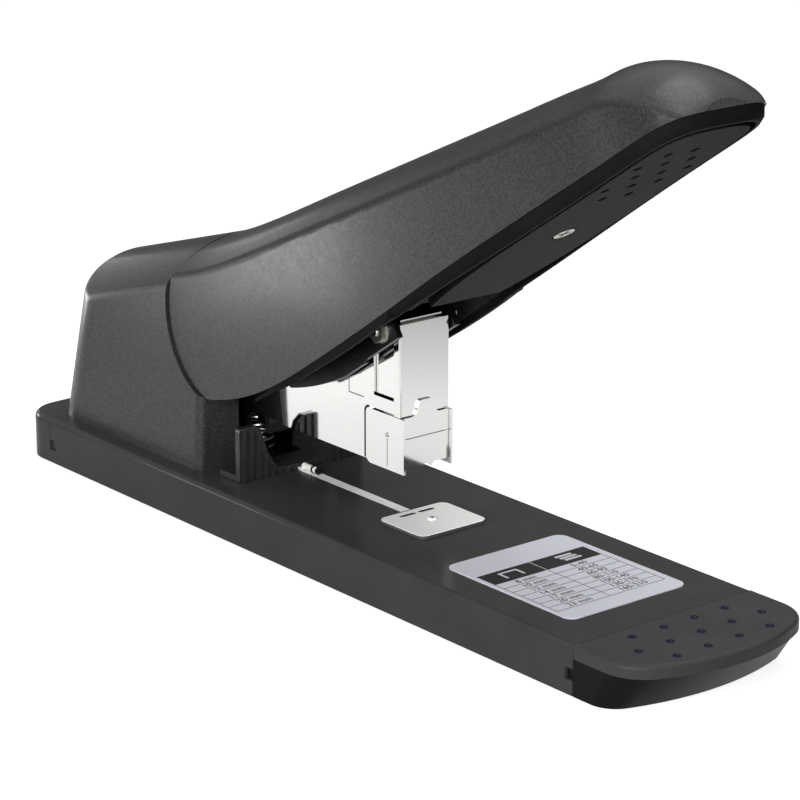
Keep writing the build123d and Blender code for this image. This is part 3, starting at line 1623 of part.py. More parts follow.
with BuildPart() as guide_clip:
    with BuildSketch(Plane.XY.offset(guide_bottom_z)):
        with Locations((guide_clip_rear_x, 0)):
            RectangleRounded(
                guide_clip_length, 2 * guide_clip_half_width, 0.8, align=(Align.MIN, Align.CENTER)
            )
    extrude(amount=guide_clip_thickness)
    with BuildSketch(Plane.XY.offset(rail_top_z + spring_seat)):
        with Locations((tongue_rear_x, 0)):
            Rectangle(
                guide_clip_rear_x + guide_clip_length - tongue_rear_x,
                rail_width - 2 * rail_side_gap,
                align=(Align.MIN, Align.CENTER),
            )
    extrude(amount=guide_bottom_z - rail_top_z - spring_seat)
finish(guide_clip.part, "guide_clip")

# ---------------------------------------------------------------------------------------------
# Release catch hung under the magazine arm
# ---------------------------------------------------------------------------------------------

catch_pin_z = magazine_floor_z - 2.0

with BuildPart() as catch_bracket:
    for side in (-1, 1):
        with Locations((catch_x, side * (catch_half_width + 1.0), magazine_floor_z)):
            Box(4, 1.2, 4, align=(Align.CENTER, Align.CENTER, Align.MAX))
    with BuildSketch(side_plane.offset(-catch_half_width - 1.6)):
        with Locations((catch_x, catch_pin_z)):
            Circle(catch_pin_radius)
    extrude(amount=2 * catch_half_width + 3.2)
finish(catch_bracket.part, "catch_bracket")

with BuildPart() as release_catch:
    with BuildSketch(side_plane.offset(-catch_half_width + 0.3)):
        with BuildLine():
            Polyline(
                (catch_x - 1.2, catch_pin_z + 1.5),
                (catch_x + 1.2, catch_pin_z + 1.5),
                (catch_x + 1.9, catch_pin_z - 2.0),
                (catch_x + 1.4, catch_pin_z - catch_drop),
                (catch_x + 0.2, catch_pin_z - catch_drop),
                (catch_x - 2.0, catch_pin_z - 1.6),
                close=True,
            )
        make_face()
        with Locations((catch_x, catch_pin_z)):
            Circle(catch_pin_radius + running_clearance, mode=Mode.SUBTRACT)
    extrude(amount=2 * catch_half_width - 0.6)
finish(release_catch.part, "release_catch")
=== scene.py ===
from math import cos, radians, sin

import bmesh
import bpy
from mathutils import Matrix, Vector


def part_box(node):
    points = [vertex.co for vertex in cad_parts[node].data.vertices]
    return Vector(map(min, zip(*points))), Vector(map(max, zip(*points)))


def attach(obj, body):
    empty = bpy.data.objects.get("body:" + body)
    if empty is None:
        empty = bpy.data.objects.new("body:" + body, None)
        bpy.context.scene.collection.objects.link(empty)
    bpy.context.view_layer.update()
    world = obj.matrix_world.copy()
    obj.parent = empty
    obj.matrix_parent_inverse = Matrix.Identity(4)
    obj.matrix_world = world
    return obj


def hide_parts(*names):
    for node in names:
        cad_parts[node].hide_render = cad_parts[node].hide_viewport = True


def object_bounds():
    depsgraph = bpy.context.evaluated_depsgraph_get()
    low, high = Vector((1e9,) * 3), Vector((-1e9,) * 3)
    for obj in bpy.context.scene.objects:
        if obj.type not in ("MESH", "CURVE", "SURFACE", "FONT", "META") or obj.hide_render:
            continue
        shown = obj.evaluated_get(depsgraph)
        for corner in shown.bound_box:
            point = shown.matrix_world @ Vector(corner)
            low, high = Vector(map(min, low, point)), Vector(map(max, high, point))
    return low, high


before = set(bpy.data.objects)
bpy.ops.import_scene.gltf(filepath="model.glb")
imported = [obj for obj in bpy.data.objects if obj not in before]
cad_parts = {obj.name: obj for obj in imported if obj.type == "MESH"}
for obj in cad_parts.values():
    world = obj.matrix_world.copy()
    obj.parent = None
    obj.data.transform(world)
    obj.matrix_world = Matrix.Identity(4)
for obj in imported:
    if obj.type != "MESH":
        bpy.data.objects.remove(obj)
cad_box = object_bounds()

# Sizes of the stapler's pieces are in millimetres, and become metres in the helpers
MM = 0.001
BASE_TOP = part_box("base_cover")[1].z / MM
CAP_LIP_DEPTH = 4.0
LIP_BOTTOM = BASE_TOP - CAP_LIP_DEPTH
INK_THICKNESS = 0.04
LINE_THICKNESS = 0.02
OBJECT_MIDDLE = Vector(
    ((cad_box[0].x + cad_box[1].x) / 2, (cad_box[0].y + cad_box[1].y) / 2, 0)
)

# Sockets of a Mix node that share a name: two floats, two colours, and the colour result
MIX_FLOAT_A, MIX_FLOAT_B = 2, 3
MIX_COLOUR_A, MIX_COLOUR_B, MIX_COLOUR_RESULT = 6, 7, 2


# ---------------------------------------------------------------------------------------------
# Helpers
# ---------------------------------------------------------------------------------------------


def colour(code):
    """Linear colour of an sRGB hex value."""
    channels = [int(code[start : start + 2], 16) / 255 for start in (1, 3, 5)]
    linear = [c / 12.92 if c <= 0.04045 else ((c + 0.055) / 1.055) ** 2.4 for c in channels]
    return (*linear, 1.0)


def add_node(tree, kind, inputs=None, **settings):
    """Add a shader node, set its properties, and give its sockets values or links."""
    made = tree.nodes.new(kind)
    for key, value in settings.items():
        setattr(made, key, value)
    for key, value in (inputs or {}).items():
        if isinstance(value, bpy.types.NodeSocket):
            tree.links.new(value, made.inputs[key])
        else:
            made.inputs[key].default_value = value
    return made


def new_material(name):
    """Empty material with its Principled shader, ready for its pattern nodes."""
    material = bpy.data.materials.new(name)
    material.use_nodes = True
    tree = material.node_tree
    return material, tree, tree.nodes["Principled BSDF"]


def dress(material, *nodes):
    """Give CAD nodes their finish."""
    for name in nodes:
        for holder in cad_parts[name].material_slots:
            holder.material = material


def new_piece(form, name, body, material):
    """Turn a finished bmesh into a piece that rides on a body."""
    mesh = bpy.data.meshes.new(name)
    form.to_mesh(mesh)
    form.free()
    mesh.materials.append(material)
    piece = bpy.data.objects.new(name, mesh)
    bpy.context.scene.collection.objects.link(piece)
    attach(piece, body)
    return piece


def add_box(form, low, high):
    """Add the box between two corners, in millimetres, to a form."""
    low, high = Vector(low) * MM, Vector(high) * MM
    verts = bmesh.ops.create_cube(form, size=1.0)["verts"]
    bmesh.ops.scale(form, vec=high - low, verts=verts)
    bmesh.ops.translate(form, vec=(low + high) / 2, verts=verts)


def add_rod(form, radius, start_x, end_x, middle_z):
    """Add a round rod along the stapler's middle plane, in millimetres, to a form."""
    verts = bmesh.ops.create_cone(
        form,
        cap_ends=True,
        segments=24,
        radius1=radius * MM,
        radius2=radius * MM,
        depth=(end_x - start_x) * MM,
    )["verts"]
    bmesh.ops.transform(form, matrix=Matrix.Rotation(radians(90), 4, "Y"), verts=verts)
    middle = Vector(((start_x + end_x) / 2, 0, middle_z))
    bmesh.ops.translate(form, vec=middle * MM, verts=verts)


def add_text(form, words, height, place):
    """Add flat raised words to a form; place turns and moves them from their own plane."""
    curve = bpy.data.curves.new("words", "FONT")
    curve.body = words
    curve.size = height
    curve.extrude = INK_THICKNESS / 2
    curve.resolution_u = 3
    curve.align_x = "CENTER"
    curve.align_y = "CENTER"
    holder = bpy.data.objects.new("words", curve)
    bpy.context.scene.collection.objects.link(holder)
    bpy.context.view_layer.update()
    mesh = bpy.data.meshes.new_from_object(holder)
    mesh.transform(place)
    form.from_mesh(mesh)
    bpy.data.objects.remove(holder)
    bpy.data.curves.remove(curve)
    bpy.data.meshes.remove(mesh)


def corners_mm(node):
    """Lowest and highest corner of a CAD node, in millimetres."""
    low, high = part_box(node)
    return low / MM, high / MM


# ---------------------------------------------------------------------------------------------
# Materials
# ---------------------------------------------------------------------------------------------


def finish_surface(tree, shader, tone_from, tones, texture, roughness, bump):
    """Give a shader two blended tones, and a fine texture that varies its gloss and height.

    Each tone is its place in the tone pattern and its colour. Roughness is its lowest and
    highest value. Bump is a strength and a depth in millimetres.
    """
    blend = add_node(tree, "ShaderNodeValToRGB", {"Fac": tone_from})
    for stop, (position, code) in zip(blend.color_ramp.elements, tones):
        stop.position = position
        stop.color = colour(code)
    # Noise stays mostly between 0.3 and 0.7, and that range is spread over the roughness
    rough = add_node(
        tree,
        "ShaderNodeMapRange",
        {
            "Value": texture,
            "From Min": 0.3,
            "From Max": 0.7,
            "To Min": roughness[0],
            "To Max": roughness[1],
        },
    )
    strength, depth = bump
    raised = add_node(
        tree,
        "ShaderNodeBump",
        {"Height": texture, "Strength": strength, "Distance": depth * MM},
    )
    tree.links.new(blend.outputs["Color"], shader.inputs["Base Color"])
    tree.links.new(rough.outputs["Result"], shader.inputs["Roughness"])
    tree.links.new(raised.outputs["Normal"], shader.inputs["Normal"])


def flake_shell_plastic():
    """Moulded ABS under a satin lacquer with metal flake: a soft broad sheen that sparkles."""
    flake_mm, ripple_mm = 0.45, 1.6
    material, tree, shader = new_material("flake_shell_plastic")
    place = add_node(tree, "ShaderNodeTexCoord").outputs["Object"]
    # Flakes are about 0.05 mm in such a lacquer, and are drawn nine times as coarse to show
    flakes = add_node(
        tree, "ShaderNodeTexVoronoi", {"Vector": place, "Scale": 1 / (flake_mm * MM)}
    ).outputs["Color"]
    flake_tone = add_node(tree, "ShaderNodeSeparateColor", {"Color": flakes}).outputs["Red"]
    # Dried lacquer ripples every 1 to 2 mm, and its sheen is uneven for it
    ripple = add_node(
        tree,
        "ShaderNodeTexNoise",
        {"Vector": place, "Scale": 1 / (ripple_mm * MM), "Detail": 3.0},
    ).outputs["Fac"]
    finish_surface(
        tree,
        shader,
        tone_from=flake_tone,
        tones=((0.0, "#262626"), (1.0, "#3c3c3c")),
        texture=ripple,
        roughness=(0.32, 0.4),
        bump=(0.06, 0.05),
    )
    shader.inputs["IOR"].default_value = 1.5
    shader.inputs["Specular IOR Level"].default_value = 0.25
    # The flake makes the colour partly metallic, below a thin clear coat
    shader.inputs["Metallic"].default_value = 0.25
    shader.inputs["Coat Weight"].default_value = 0.1
    shader.inputs["Coat Roughness"].default_value = 0.16
    return material


def plastic(name, tones, roughness, grain_mm, grain_strength, gloss=0.5, ior=1.49):
    """Moulded or printed plastic: its colour drifts a little, and a grain breaks its gloss.

    The grain of a spark-eroded mould is 0.05 to 0.2 mm wide, and is drawn several times as
    coarse to show.
    """
    drift_mm = 18
    material, tree, shader = new_material(name)
    place = add_node(tree, "ShaderNodeTexCoord").outputs["Object"]
    drift = add_node(
        tree,
        "ShaderNodeTexNoise",
        {"Vector": place, "Scale": 1 / (drift_mm * MM), "Detail": 4.0},
    ).outputs["Fac"]
    grain = add_node(
        tree,
        "ShaderNodeTexNoise",
        {"Vector": place, "Scale": 1 / (grain_mm * MM), "Detail": 2.0},
    ).outputs["Fac"]
    dark, light = tones
    finish_surface(
        tree,
        shader,
        tone_from=drift,
        tones=((0.35, dark), (0.65, light)),
        texture=grain,
        roughness=roughness,
        bump=(grain_strength, 0.05),
    )
    shader.inputs["IOR"].default_value = ior
    shader.inputs["Specular IOR Level"].default_value = gloss
    return material


def steel(name, tones, roughness, line_mm, stretch, line_strength, metallic=1.0):
    """Sheet, bar or wire steel: fine lines along the part, with slight changes of tone.

    Stretch is how many times longer than wide the lines are. Real ones are 0.01 to 0.05 mm
    wide, and are drawn several times as coarse to show.
    """
    material, tree, shader = new_material(name)
    place = add_node(tree, "ShaderNodeTexCoord").outputs["Object"]
    along = add_node(
        tree, "ShaderNodeMapping", {"Vector": place, "Scale": (1 / stretch, 1.0, 1.0)}
    ).outputs["Vector"]
    lines = add_node(
        tree,
        "ShaderNodeTexNoise",
        {"Vector": along, "Scale": 1 / (line_mm * MM), "Detail": 3.0},
    ).outputs["Fac"]
    worn, clean = tones
    finish_surface(
        tree,
        shader,
        tone_from=lines,
        tones=((0.3, worn), (0.6, clean)),
        texture=lines,
        roughness=roughness,
        bump=(line_strength, 0.02),
    )
    shader.inputs["Metallic"].default_value = metallic
    return material


def height_mask(material, lowest, highest):
    """1 where the height lies between two values, in millimetres, else 0."""
    tree = material.node_tree
    place = add_node(tree, "ShaderNodeTexCoord").outputs["Object"]
    height = add_node(
        tree, "ShaderNodeVectorMath", {0: place, 1: (0, 0, 1)}, operation="DOT_PRODUCT"
    ).outputs["Value"]
    middle = (lowest + highest) / 2 * MM
    half = (highest - lowest) / 2 * MM
    return add_node(
        tree, "ShaderNodeMath", {0: height, 1: middle, 2: half}, operation="COMPARE"
    ).outputs[0]


def tint_where(material, mask, code):
    """Recolour a material where a mask is 1, over whatever colour it has."""
    tree = material.node_tree
    shader = tree.nodes["Principled BSDF"]
    under = shader.inputs["Base Color"].links[0].from_socket
    mixed = add_node(
        tree,
        "ShaderNodeMix",
        {"Factor": mask, MIX_COLOUR_A: under, MIX_COLOUR_B: colour(code)},
        data_type="RGBA",
    )
    tree.links.new(mixed.outputs[MIX_COLOUR_RESULT], shader.inputs["Base Color"])


shell_plastic = flake_shell_plastic()

# Smooth moulded ABS: an even charcoal top with a faint, fairly sharp reflection
base_plastic = plastic(
    "moulded_base_abs",
    tones=("#353535", "#393939"),
    roughness=(0.16, 0.24),
    grain_mm=0.8,
    grain_strength=0.04,
    gloss=0.05,
)

# Finely textured ABS: a slightly cooler charcoal in which reflections blur away
cap_plastic = plastic(
    "moulded_cap_abs",
    tones=("#363638", "#3b3b3d"),
    roughness=(0.3, 0.4),
    grain_mm=0.7,
    grain_strength=0.08,
    gloss=0.08,
)

# Matt black ABS: it swallows light, and its ridge and dimples show only as a soft sheen
under_plastic = plastic(
    "moulded_under_cover_abs",
    tones=("#151516", "#19191a"),
    roughness=(0.35, 0.45),
    grain_mm=0.7,
    grain_strength=0.1,
    gloss=0.03,
    ior=1.25,
)

# Polypropylene: black, with a waxy broad sheen on its ribs
guide_plastic = plastic(
    "moulded_guide_polypropylene",
    tones=("#222222", "#282828"),
    roughness=(0.3, 0.42),
    grain_mm=0.6,
    grain_strength=0.08,
)

# Moulded rubber: dull black with no highlight
foot_rubber = plastic(
    "moulded_foot_rubber",
    tones=("#161616", "#1c1c1c"),
    roughness=(0.7, 0.85),
    grain_mm=0.5,
    grain_strength=0.2,
)

# Silvered polyester film: a flat, pale, cool grey with a satin sheen
label_film = plastic(
    "silvered_label_film",
    tones=("#c6c7cf", "#cbccd4"),
    roughness=(0.35, 0.45),
    grain_mm=0.6,
    grain_strength=0.03,
)

# Screen-printed ink: flat black, with hardly a sheen beside the film. The same flat black is the
# painted shade in the anvil's crimping pockets and punch mark
ink_and_painted_shade = plastic(
    "printed_ink_and_painted_shade",
    tones=("#111112", "#161617"),
    roughness=(0.45, 0.55),
    grain_mm=0.4,
    grain_strength=0.02,
    gloss=0.2,
)

# Shade inside a stamped line: near black, and crisp against the bright plate
line_shadow = plastic(
    "stamped_line_shadow",
    tones=("#161616", "#1e1e1e"),
    roughness=(0.5, 0.6),
    grain_mm=0.4,
    grain_strength=0.02,
    gloss=0.2,
)

# Bright nickel plate on sheet steel: a clean mirror with barely visible drawing lines
nickel_steel = steel(
    "nickel_plated_sheet_steel",
    tones=("#ebebe9", "#f0f0ee"),
    roughness=(0.05, 0.08),
    line_mm=0.25,
    stretch=30,
    line_strength=0.008,
)

# Ground steel, drawn hardly metallic: its near-white base colour is a painted sheen standing in
# for the frosted steel's reflection, so it never mirrors a lamp sharply
anvil_steel_painted_sheen = steel(
    "ground_anvil_steel_painted_sheen",
    tones=("#f1f0ee", "#f8f7f5"),
    roughness=(0.3, 0.36),
    line_mm=0.12,
    stretch=25,
    line_strength=0.04,
    metallic=0.1,
)

# Bright rolled steel, drawn hardly metallic: its nearly white base colour along the whole length
# is a painted sheen for the white table and ceiling it mirrors
rail_steel_painted_sheen = steel(
    "rolled_rail_steel_painted_sheen",
    tones=("#f6f6f4", "#fcfcfa"),
    roughness=(0.25, 0.35),
    line_mm=0.2,
    stretch=40,
    line_strength=0.03,
    metallic=0.05,
)

# Drawn steel: bright grey with long lines along the tray
tray_steel = steel(
    "drawn_tray_steel",
    tones=("#bdbdba", "#d0d0ce"),
    roughness=(0.15, 0.25),
    line_mm=0.2,
    stretch=40,
    line_strength=0.08,
)

# Blackened steel: a dark oily grey with streaks from rolling
chassis_steel = steel(
    "blackened_chassis_steel",
    tones=("#2e2f31", "#3a3b3d"),
    roughness=(0.3, 0.42),
    line_mm=0.3,
    stretch=12,
    line_strength=0.12,
)

# Turned steel: clean light grey with a tight highlight
pin_steel = steel(
    "turned_pin_steel",
    tones=("#b1b1ae", "#c6c6c4"),
    roughness=(0.18, 0.28),
    line_mm=0.1,
    stretch=1,
    line_strength=0.05,
)

# Oil-tempered wire: brownish grey with a soft highlight along each turn
spring_wire = steel(
    "oil_tempered_spring_wire",
    tones=("#6f6d69", "#8e8c88"),
    roughness=(0.25, 0.38),
    line_mm=0.1,
    stretch=1,
    line_strength=0.1,
)

# Zinc plate: faintly yellow silver, a little cloudy
screw_zinc = steel(
    "zinc_plated_screw_steel",
    tones=("#aba99f", "#c4c3bd"),
    roughness=(0.25, 0.38),
    line_mm=0.15,
    stretch=1,
    line_strength=0.08,
)

# Galvanised wire: light grey, with a fine glint on each staple
staple_wire = steel(
    "galvanised_staple_wire",
    tones=("#b2b2b0", "#c9c9c8"),
    roughness=(0.22, 0.32),
    line_mm=0.1,
    stretch=20,
    line_strength=0.1,
)

# Masks reach this far past a piece's own end, so that they hold all of it
MASK_MARGIN = 1.0

# The cap's underside is black below its grey lip, and its pips are blue-black
cap_low, cap_high = corners_mm("front_cap")
PIP_FOOT = 0.08
cap_underside = height_mask(cap_plastic, cap_low.z - MASK_MARGIN, LIP_BOTTOM)
tint_where(cap_plastic, cap_underside, "#0d0d0d")
cap_pips = height_mask(cap_plastic, BASE_TOP + PIP_FOOT, cap_high.z + MASK_MARGIN)
tint_where(cap_plastic, cap_pips, "#191928")

# Painted shade: the anvil plate's edge, below its ground face, is tinted dark
anvil_low, anvil_high = corners_mm("anvil_plate")
GROUND_DEPTH = 0.12
painted_shade_edge = height_mask(anvil_steel_painted_sheen, anvil_low.z - MASK_MARGIN, anvil_high.z - GROUND_DEPTH)
tint_where(anvil_steel_painted_sheen, painted_shade_edge, "#4c4c4b")

dress(shell_plastic, "handle_shell", "rear_housing")
dress(base_plastic, "base_cover", "rear_cap")
dress(cap_plastic, "front_cap")
dress(under_plastic, "handle_under_cover")
dress(guide_plastic, "paper_guide", "release_catch")
dress(foot_rubber, "feet")
dress(
    nickel_steel,
    "magazine_channel",
    "head_cover",
    "clip_plates",
    "throat_plate",
    "guide_rail",
    "guide_clip",
    "staple_tray",
    "driver_carriage",
)
dress(anvil_steel_painted_sheen, "anvil_plate", "anvil_rivet")
dress(tray_steel, "staple_core", "staple_pusher")
dress(
    chassis_steel,
    "chassis_frame",
    "magazine_arm",
    "base_plate",
    "lever_frame",
    "catch_bracket",
)
dress(
    pin_steel,
    "handle_pin",
    "magazine_pin",
    "pusher_rod",
    "link_bolt",
    "pin_bushes",
    "driver_blade",
)
dress(spring_wire, "handle_spring", "magazine_spring", "pusher_spring")
dress(screw_zinc, "base_screws", "handle_screw", "link_nuts", "head_rivets")
dress(staple_wire, "staple_strip")
dress(label_film, "label_plate")


# ---------------------------------------------------------------------------------------------
# New pieces: printed chart, painted shade of the crimping pockets, rail and guide's clip with a
# painted sheen, staples and painted shade lines on the head
# ---------------------------------------------------------------------------------------------


def make_label_chart():
    """Chart: a black heading over ruled rows of staple legs and sheet counts."""
    low, high = corners_mm("label_plate")
    bottom, top = high.z, high.z + INK_THICKNESS
    bare_strip, heading_depth, row_depth = 13.0, 8.4, 3.9
    rule, letter_height = 0.18, 3.3
    near_margin, far_margin = 1.5, 2.6
    left, split, right = low.y + near_margin, -1.2, high.y - far_margin
    rows = (
        ("8", "5-40"),
        ("10", "40-65"),
        ("12", "60-90"),
        ("14", "80-110"),
        ("17", "100-140"),
        ("20", "130-170"),
        ("23", "160-210"),
    )
    chart_rear = low.x + bare_strip
    rows_start = chart_rear + heading_depth
    rows_end = rows_start + row_depth * len(rows)
    form = bmesh.new()
    add_box(form, (chart_rear, left, bottom), (rows_start, split - rule, top))
    add_box(form, (chart_rear, split + rule, bottom), (rows_start, right, top))
    for line_y in (left, split, right):
        add_box(
            form,
            (rows_start, line_y - rule / 2, bottom),
            (rows_end, line_y + rule / 2, top),
        )
    for index in range(1, len(rows) + 1):
        line_x = rows_start + index * row_depth
        add_box(form, (line_x - rule / 2, left, bottom), (line_x + rule / 2, right, top))
    # Words read from the round end of the base
    facing = Matrix.Rotation(radians(90), 4, "Z") @ Matrix.Scale(MM, 4)
    columns = ((left + split) / 2, (split + right) / 2)
    for index, (legs, sheets) in enumerate(rows):
        row_x = rows_start + (index + 0.5) * row_depth
        for words, column_y in zip((legs + " mm", sheets), columns):
            middle = Vector((row_x, column_y, (bottom + top) / 2))
            add_text(form, words, letter_height, Matrix.Translation(middle * MM) @ facing)
    new_piece(form, "label_chart", "base", ink_and_painted_shade)


def make_label_pictograms():
    """Two silver pictograms on the chart's heading: an open staple and a stack of sheets."""
    low, high = corners_mm("label_plate")
    bottom = high.z + INK_THICKNESS
    top = bottom + LINE_THICKNESS
    heading_middle = low.x + 17.2
    form = bmesh.new()

    stroke, crown_half, leg_length = 0.8, 3.6, 3.8
    crown_rear = heading_middle - 2.4
    crown_front = crown_rear + stroke
    staple_y = low.y + 11.5
    add_box(
        form,
        (crown_rear, staple_y - crown_half, bottom),
        (crown_front, staple_y + crown_half, top),
    )
    for leg_y in (staple_y - crown_half, staple_y + crown_half - stroke):
        add_box(
            form,
            (crown_front, leg_y, bottom),
            (crown_front + leg_length, leg_y + stroke, top),
        )

    sheet_half, sheet_depth, sheet_pitch, sheet_slip = 3.2, 1.1, 1.7, 0.5
    stack_rear = heading_middle - 2.6
    stack_y = high.y - 12.5
    for index in range(3):
        sheet_rear = stack_rear + index * sheet_pitch
        sheet_y = stack_y + index * sheet_slip
        add_box(
            form,
            (sheet_rear, sheet_y - sheet_half, bottom),
            (sheet_rear + sheet_depth, sheet_y + sheet_half, top),
        )
    new_piece(form, "label_pictograms", "base", label_film)


def make_anvil_pockets():
    """Flat dark marks of painted shade where the crimping pockets are hollow, two for each
    staple leg, and painted shade in the rivet's punch mark.
    """
    low, high = corners_mm("anvil_plate")
    sunk, proud = 0.01, 0.015
    pocket_x = low.x + 3.2
    rear_bow, front_bow, least_width = 0.55, 0.45, 0.1
    steps = 6
    form = bmesh.new()
    for side in (-1, 1):
        for inner_y, outer_y in ((0.5, 3.3), (3.9, 6.9)):
            step = (outer_y - inner_y) / steps
            for index in range(steps):
                bow = sin(radians(180 * (index + 0.5) / steps))
                start_y = inner_y + index * step
                y_low, y_high = sorted((side * start_y, side * (start_y + step)))
                add_box(
                    form,
                    (pocket_x - rear_bow * bow, y_low, high.z - sunk),
                    (pocket_x + front_bow * bow + least_width, y_high, high.z + proud),
                )

    # Painted shade of the three-sided punch mark in the rivet's head
    rivet_low, rivet_high = corners_mm("anvil_rivet")
    punch_radius, punch_thickness = 1.0, 0.03
    punch = bmesh.ops.create_cone(
        form,
        cap_ends=True,
        segments=3,
        radius1=punch_radius * MM,
        radius2=punch_radius * MM,
        depth=punch_thickness * MM,
    )["verts"]
    centre = (rivet_low + rivet_high) / 2
    centre.z = rivet_high.z
    bmesh.ops.translate(form, vec=centre * MM, verts=punch)
    new_piece(form, "anvil_pocket_painted_shade", "base", ink_and_painted_shade)


def make_guide_rail():
    """Rail almost level with the base's top, with a painted white sheen, in place of the plain
    bar in its slot.
    """
    low, high = corners_mm("guide_rail")
    below_top = 0.03
    form = bmesh.new()
    add_box(form, low, (high.x, high.y, BASE_TOP - below_top))
    rail = new_piece(form, "bright_guide_rail", "base", rail_steel_painted_sheen)
    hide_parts("guide_rail")


def make_guide_clip():
    """Spring clip of the paper guide: a tongue over the rail, and a roll with two rings."""
    low, high = corners_mm("guide_clip")
    roll_radius, ring_radius, ring_width = 1.0, 1.2, 0.8
    tongue_width, tongue_thickness = 3.4, 0.4
    roll_start, roll_end = high.x - 6.3, high.x + 1.5
    tongue_end = high.x - 5.5
    middle_z = BASE_TOP + ring_radius + 0.1
    tongue_bottom = middle_z - 0.9
    form = bmesh.new()
    add_box(
        form,
        (low.x, -tongue_width / 2, tongue_bottom),
        (tongue_end, tongue_width / 2, tongue_bottom + tongue_thickness),
    )
    add_rod(form, roll_radius, roll_start, roll_end, middle_z)
    # The clip shares the rail's painted white sheen
    clip = new_piece(form, "guide_spring_clip", "guide", rail_steel_painted_sheen)
    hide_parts("guide_clip")

    form = bmesh.new()
    for ring_x in (high.x - 1.1, high.x + 1.2):
        add_rod(form, ring_radius, ring_x - ring_width / 2, ring_x + ring_width / 2, middle_z)
    new_piece(form, "guide_clip_rings", "guide", ink_and_painted_shade)


def make_staple_wires():
    """Single staples side by side on the loader, in place of the plain bar of staple section."""
    low, high = corners_mm("staple_strip")
    wire, pitch = 0.55, 0.58
    form = bmesh.new()
    for index in range(int((high.x - low.x) / pitch)):
        front = high.x - index * pitch
        rear = front - wire
        add_box(form, (rear, low.y, high.z - wire), (front, high.y, high.z))
        for leg_y in (low.y, high.y - wire):
            add_box(form, (rear, leg_y, low.z), (front, leg_y + wire, high.z - wire))
    wires = new_piece(form, "single_staples", "loader", staple_wire)
    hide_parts("staple_strip")


def make_head_lines():
    """Thin dark slabs of painted shade on the head's near side: in a stamped step, a slit and
    the shadow gap behind the clip plate.
    """
    plate_y = corners_mm("magazine_channel")[0].y
    line_y = plate_y - LINE_THICKNESS
    clip_low, clip_high = corners_mm("clip_plates")
    form = bmesh.new()

    # Step stamped in the side plate, above and behind the clip plate
    width = 0.3
    rear, front = clip_low.x - 9.4, clip_low.x - 1.8
    bottom, top = clip_high.z + 2.7, clip_high.z + 8.9
    add_box(form, (rear, line_y, bottom), (rear + width, plate_y, top))
    add_box(form, (rear, line_y, bottom - width), (front, plate_y, bottom))

    # Slit in the clip plate, below its rivet
    slit_x, slit_width = clip_low.x + 10.35, 0.25
    slit_bottom, slit_top = clip_low.z + 1.2, clip_high.z - 7.6
    add_box(
        form,
        (slit_x, clip_low.y - LINE_THICKNESS, slit_bottom),
        (slit_x + slit_width, clip_low.y, slit_top),
    )

    # Shadow gap behind the clip plate, which turns forward round its upper corner
    gap, corner_radius = 0.75, 2.4
    gap_x = clip_low.x - 1.7
    corner_z = clip_high.z + 0.6 - corner_radius
    add_box(form, (gap_x, line_y, clip_low.z + 0.9), (gap_x + gap, plate_y, corner_z))
    bend = corner_radius - gap / 2
    steps, step_angle = 6, 15
    for index in range(steps):
        angle = radians(180 - step_angle * (index + 0.5))
        x = gap_x + corner_radius + bend * cos(angle)
        z = corner_z + bend * sin(angle)
        add_box(form, (x - gap / 2, line_y, z - gap / 2), (x + gap / 2, plate_y, z + gap / 2))
    new_piece(form, "head_painted_shade_lines", "magazine", line_shadow)


make_label_chart()
make_label_pictograms()
make_anvil_pockets()
make_guide_rail()
make_guide_clip()
make_staple_wires()
make_head_lines()


# ---------------------------------------------------------------------------------------------
# Floor, backdrop, lamps and camera, in metres
# ---------------------------------------------------------------------------------------------


# What the table adds for the camera, so that its lit grey reaches white and keeps its shadows
FLOOR_LIFT = 0.82
# Strength of the dome that shades the stapler from all round
DOME = 0.3


def seen_strength(tree, diffuse, reflected, direct):
    """Strength that differs for shading, for reflections and for what the camera sees."""
    path = add_node(tree, "ShaderNodeLightPath")
    indirect = add_node(
        tree,
        "ShaderNodeMix",
        {0: path.outputs["Is Glossy Ray"], MIX_FLOAT_A: diffuse, MIX_FLOAT_B: reflected},
        data_type="FLOAT",
    ).outputs[0]
    seen = add_node(
        tree,
        "ShaderNodeMath",
        {0: path.outputs["Is Camera Ray"], 1: path.outputs["Is Transmission Ray"]},
        operation="MAXIMUM",
    ).outputs[0]
    return add_node(
        tree,
        "ShaderNodeMix",
        {0: seen, MIX_FLOAT_A: indirect, MIX_FLOAT_B: direct},
        data_type="FLOAT",
    ).outputs[0]


def make_floor():
    """White table: what the lamps leave short of white is filled for the camera."""
    form = bmesh.new()
    bmesh.ops.create_grid(form, x_segments=1, y_segments=1, size=6.0)
    mesh = bpy.data.meshes.new("floor")
    form.to_mesh(mesh)
    form.free()
    floor = bpy.data.objects.new("floor", mesh)
    bpy.context.scene.collection.objects.link(floor)
    material, tree, shader = new_material("white_table")
    shader.inputs["Base Color"].default_value = colour("#a8a8a8")
    shader.inputs["Roughness"].default_value = 1.0
    shader.inputs["Specular IOR Level"].default_value = 0.0
    shader.inputs["Emission Color"].default_value = colour("#ffffff")
    # Reflections see the table pale under the stapler and hardly lit further off, which
    # shades upright plates from top to bottom
    place = add_node(tree, "ShaderNodeTexCoord").outputs["Object"]
    reach = add_node(
        tree, "ShaderNodeVectorMath", {0: place}, operation="LENGTH"
    ).outputs["Value"]
    fade = add_node(
        tree,
        "ShaderNodeMapRange",
        {"Value": reach, "From Min": 0.18, "From Max": 0.36, "To Min": 0.53, "To Max": 0.02},
    ).outputs["Result"]
    lift = seen_strength(tree, diffuse=0.0, reflected=fade, direct=FLOOR_LIFT)
    tree.links.new(lift, shader.inputs["Emission Strength"])
    mesh.materials.append(material)


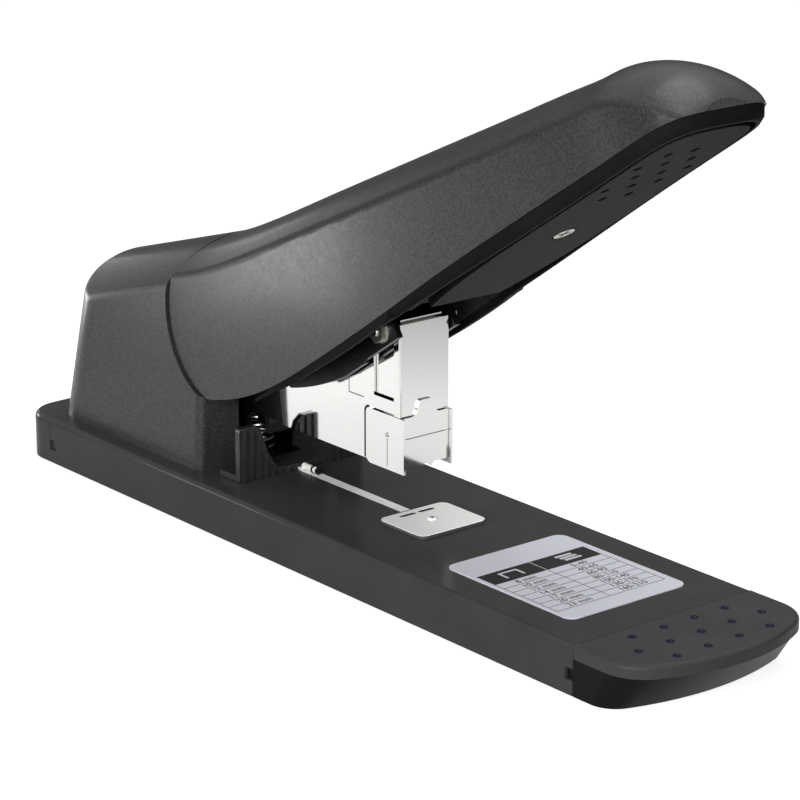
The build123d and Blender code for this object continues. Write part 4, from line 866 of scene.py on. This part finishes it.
def light_world():
    """White backdrop for the camera, a grey dome for shading, and a graded sky to reflect."""
    world = bpy.data.worlds.new("studio")
    bpy.context.scene.world = world
    world.use_nodes = True
    tree = world.node_tree
    background = tree.nodes["Background"]
    # Reflections see a white sky that darkens down towards the horizon
    direction = add_node(tree, "ShaderNodeTexCoord").outputs["Generated"]
    height = add_node(tree, "ShaderNodeSeparateXYZ", {"Vector": direction}).outputs["Z"]
    sky = add_node(
        tree,
        "ShaderNodeMapRange",
        {"Value": height, "From Min": 0.22, "From Max": 0.6, "To Min": 0.1, "To Max": 1.0},
    ).outputs["Result"]
    strength = seen_strength(tree, diffuse=DOME, reflected=sky, direct=1.0)
    background.inputs["Color"].default_value = colour("#ffffff")
    tree.links.new(strength, background.inputs["Strength"])


def add_softbox(name, place, target, size, power):
    """Soft rectangular lamp at a place, turned to a target."""
    light = bpy.data.lights.new(name, "AREA")
    light.shape = "RECTANGLE"
    light.size, light.size_y = size
    light.energy = power
    lamp = bpy.data.objects.new(name, light)
    lamp.location = place
    lamp.rotation_euler = (Vector(target) - Vector(place)).to_track_quat("-Z", "Y").to_euler()
    bpy.context.scene.collection.objects.link(lamp)


def add_lamps():
    """Three large boxes for the general level, and three small ones that draw forms out."""
    # Table, handle's nose and the steel's front, from above and behind
    add_softbox(
        "overhead_key",
        place=(0.0, 0.4, 1.2),
        target=OBJECT_MIDDLE,
        size=(0.9, 0.7),
        power=6,
    )
    # Soft glow on the near sides of handle and housing, on both sides of their seam
    add_softbox(
        "low_left_box",
        place=(-0.215, -0.165, 0.06),
        target=(-0.03, -0.03, 0.09),
        size=(0.05, 0.06),
        power=0.12,
    )
    # Rear edge and shoulder of the housing
    add_softbox(
        "left_edge_box",
        place=(-0.31, -0.05, 0.05),
        target=(-0.12, -0.02, 0.06),
        size=(0.05, 0.06),
        power=0.12,
    )
    # Side of the base, and its label, anvil and rail below the raised handle
    add_softbox(
        "under_handle_fill",
        place=(0.3, -0.5, 0.22),
        target=(-0.03, -0.01, 0.016),
        size=(0.3, 0.2),
        power=3.2,
    )
    # Tops of housing and handle, skimmed from behind
    add_softbox(
        "rear_edge_box",
        place=(-0.95, 0.16, 0.19),
        target=(0.03, -0.03, 0.13),
        size=(0.3, 0.05),
        power=0.25,
    )
    # Round end of the base, label and head, from the front
    add_softbox(
        "front_fill",
        place=(1.1, -0.6, 0.5),
        target=OBJECT_MIDDLE,
        size=(0.7, 0.7),
        power=4.5,
    )


def add_camera():
    """Long lens on the near side and the round end, from a little above."""
    azimuth, elevation, distance = radians(51.04), radians(17.36), 1.0
    target = Vector((-0.0091, 0.0124, 0.0452))
    away = Vector(
        (sin(azimuth) * cos(elevation), -cos(azimuth) * cos(elevation), sin(elevation))
    )
    lens = bpy.data.cameras.new("camera")
    lens.sensor_width = 36.0
    lens.lens = 142.97
    camera = bpy.data.objects.new("camera", lens)
    camera.location = target + away * distance
    camera.rotation_euler = (-away).to_track_quat("-Z", "Y").to_euler()
    bpy.context.scene.collection.objects.link(camera)
    bpy.context.scene.camera = camera


make_floor()
light_world()
add_lamps()
add_camera()

bpy.context.scene.view_settings.view_transform = "Standard"
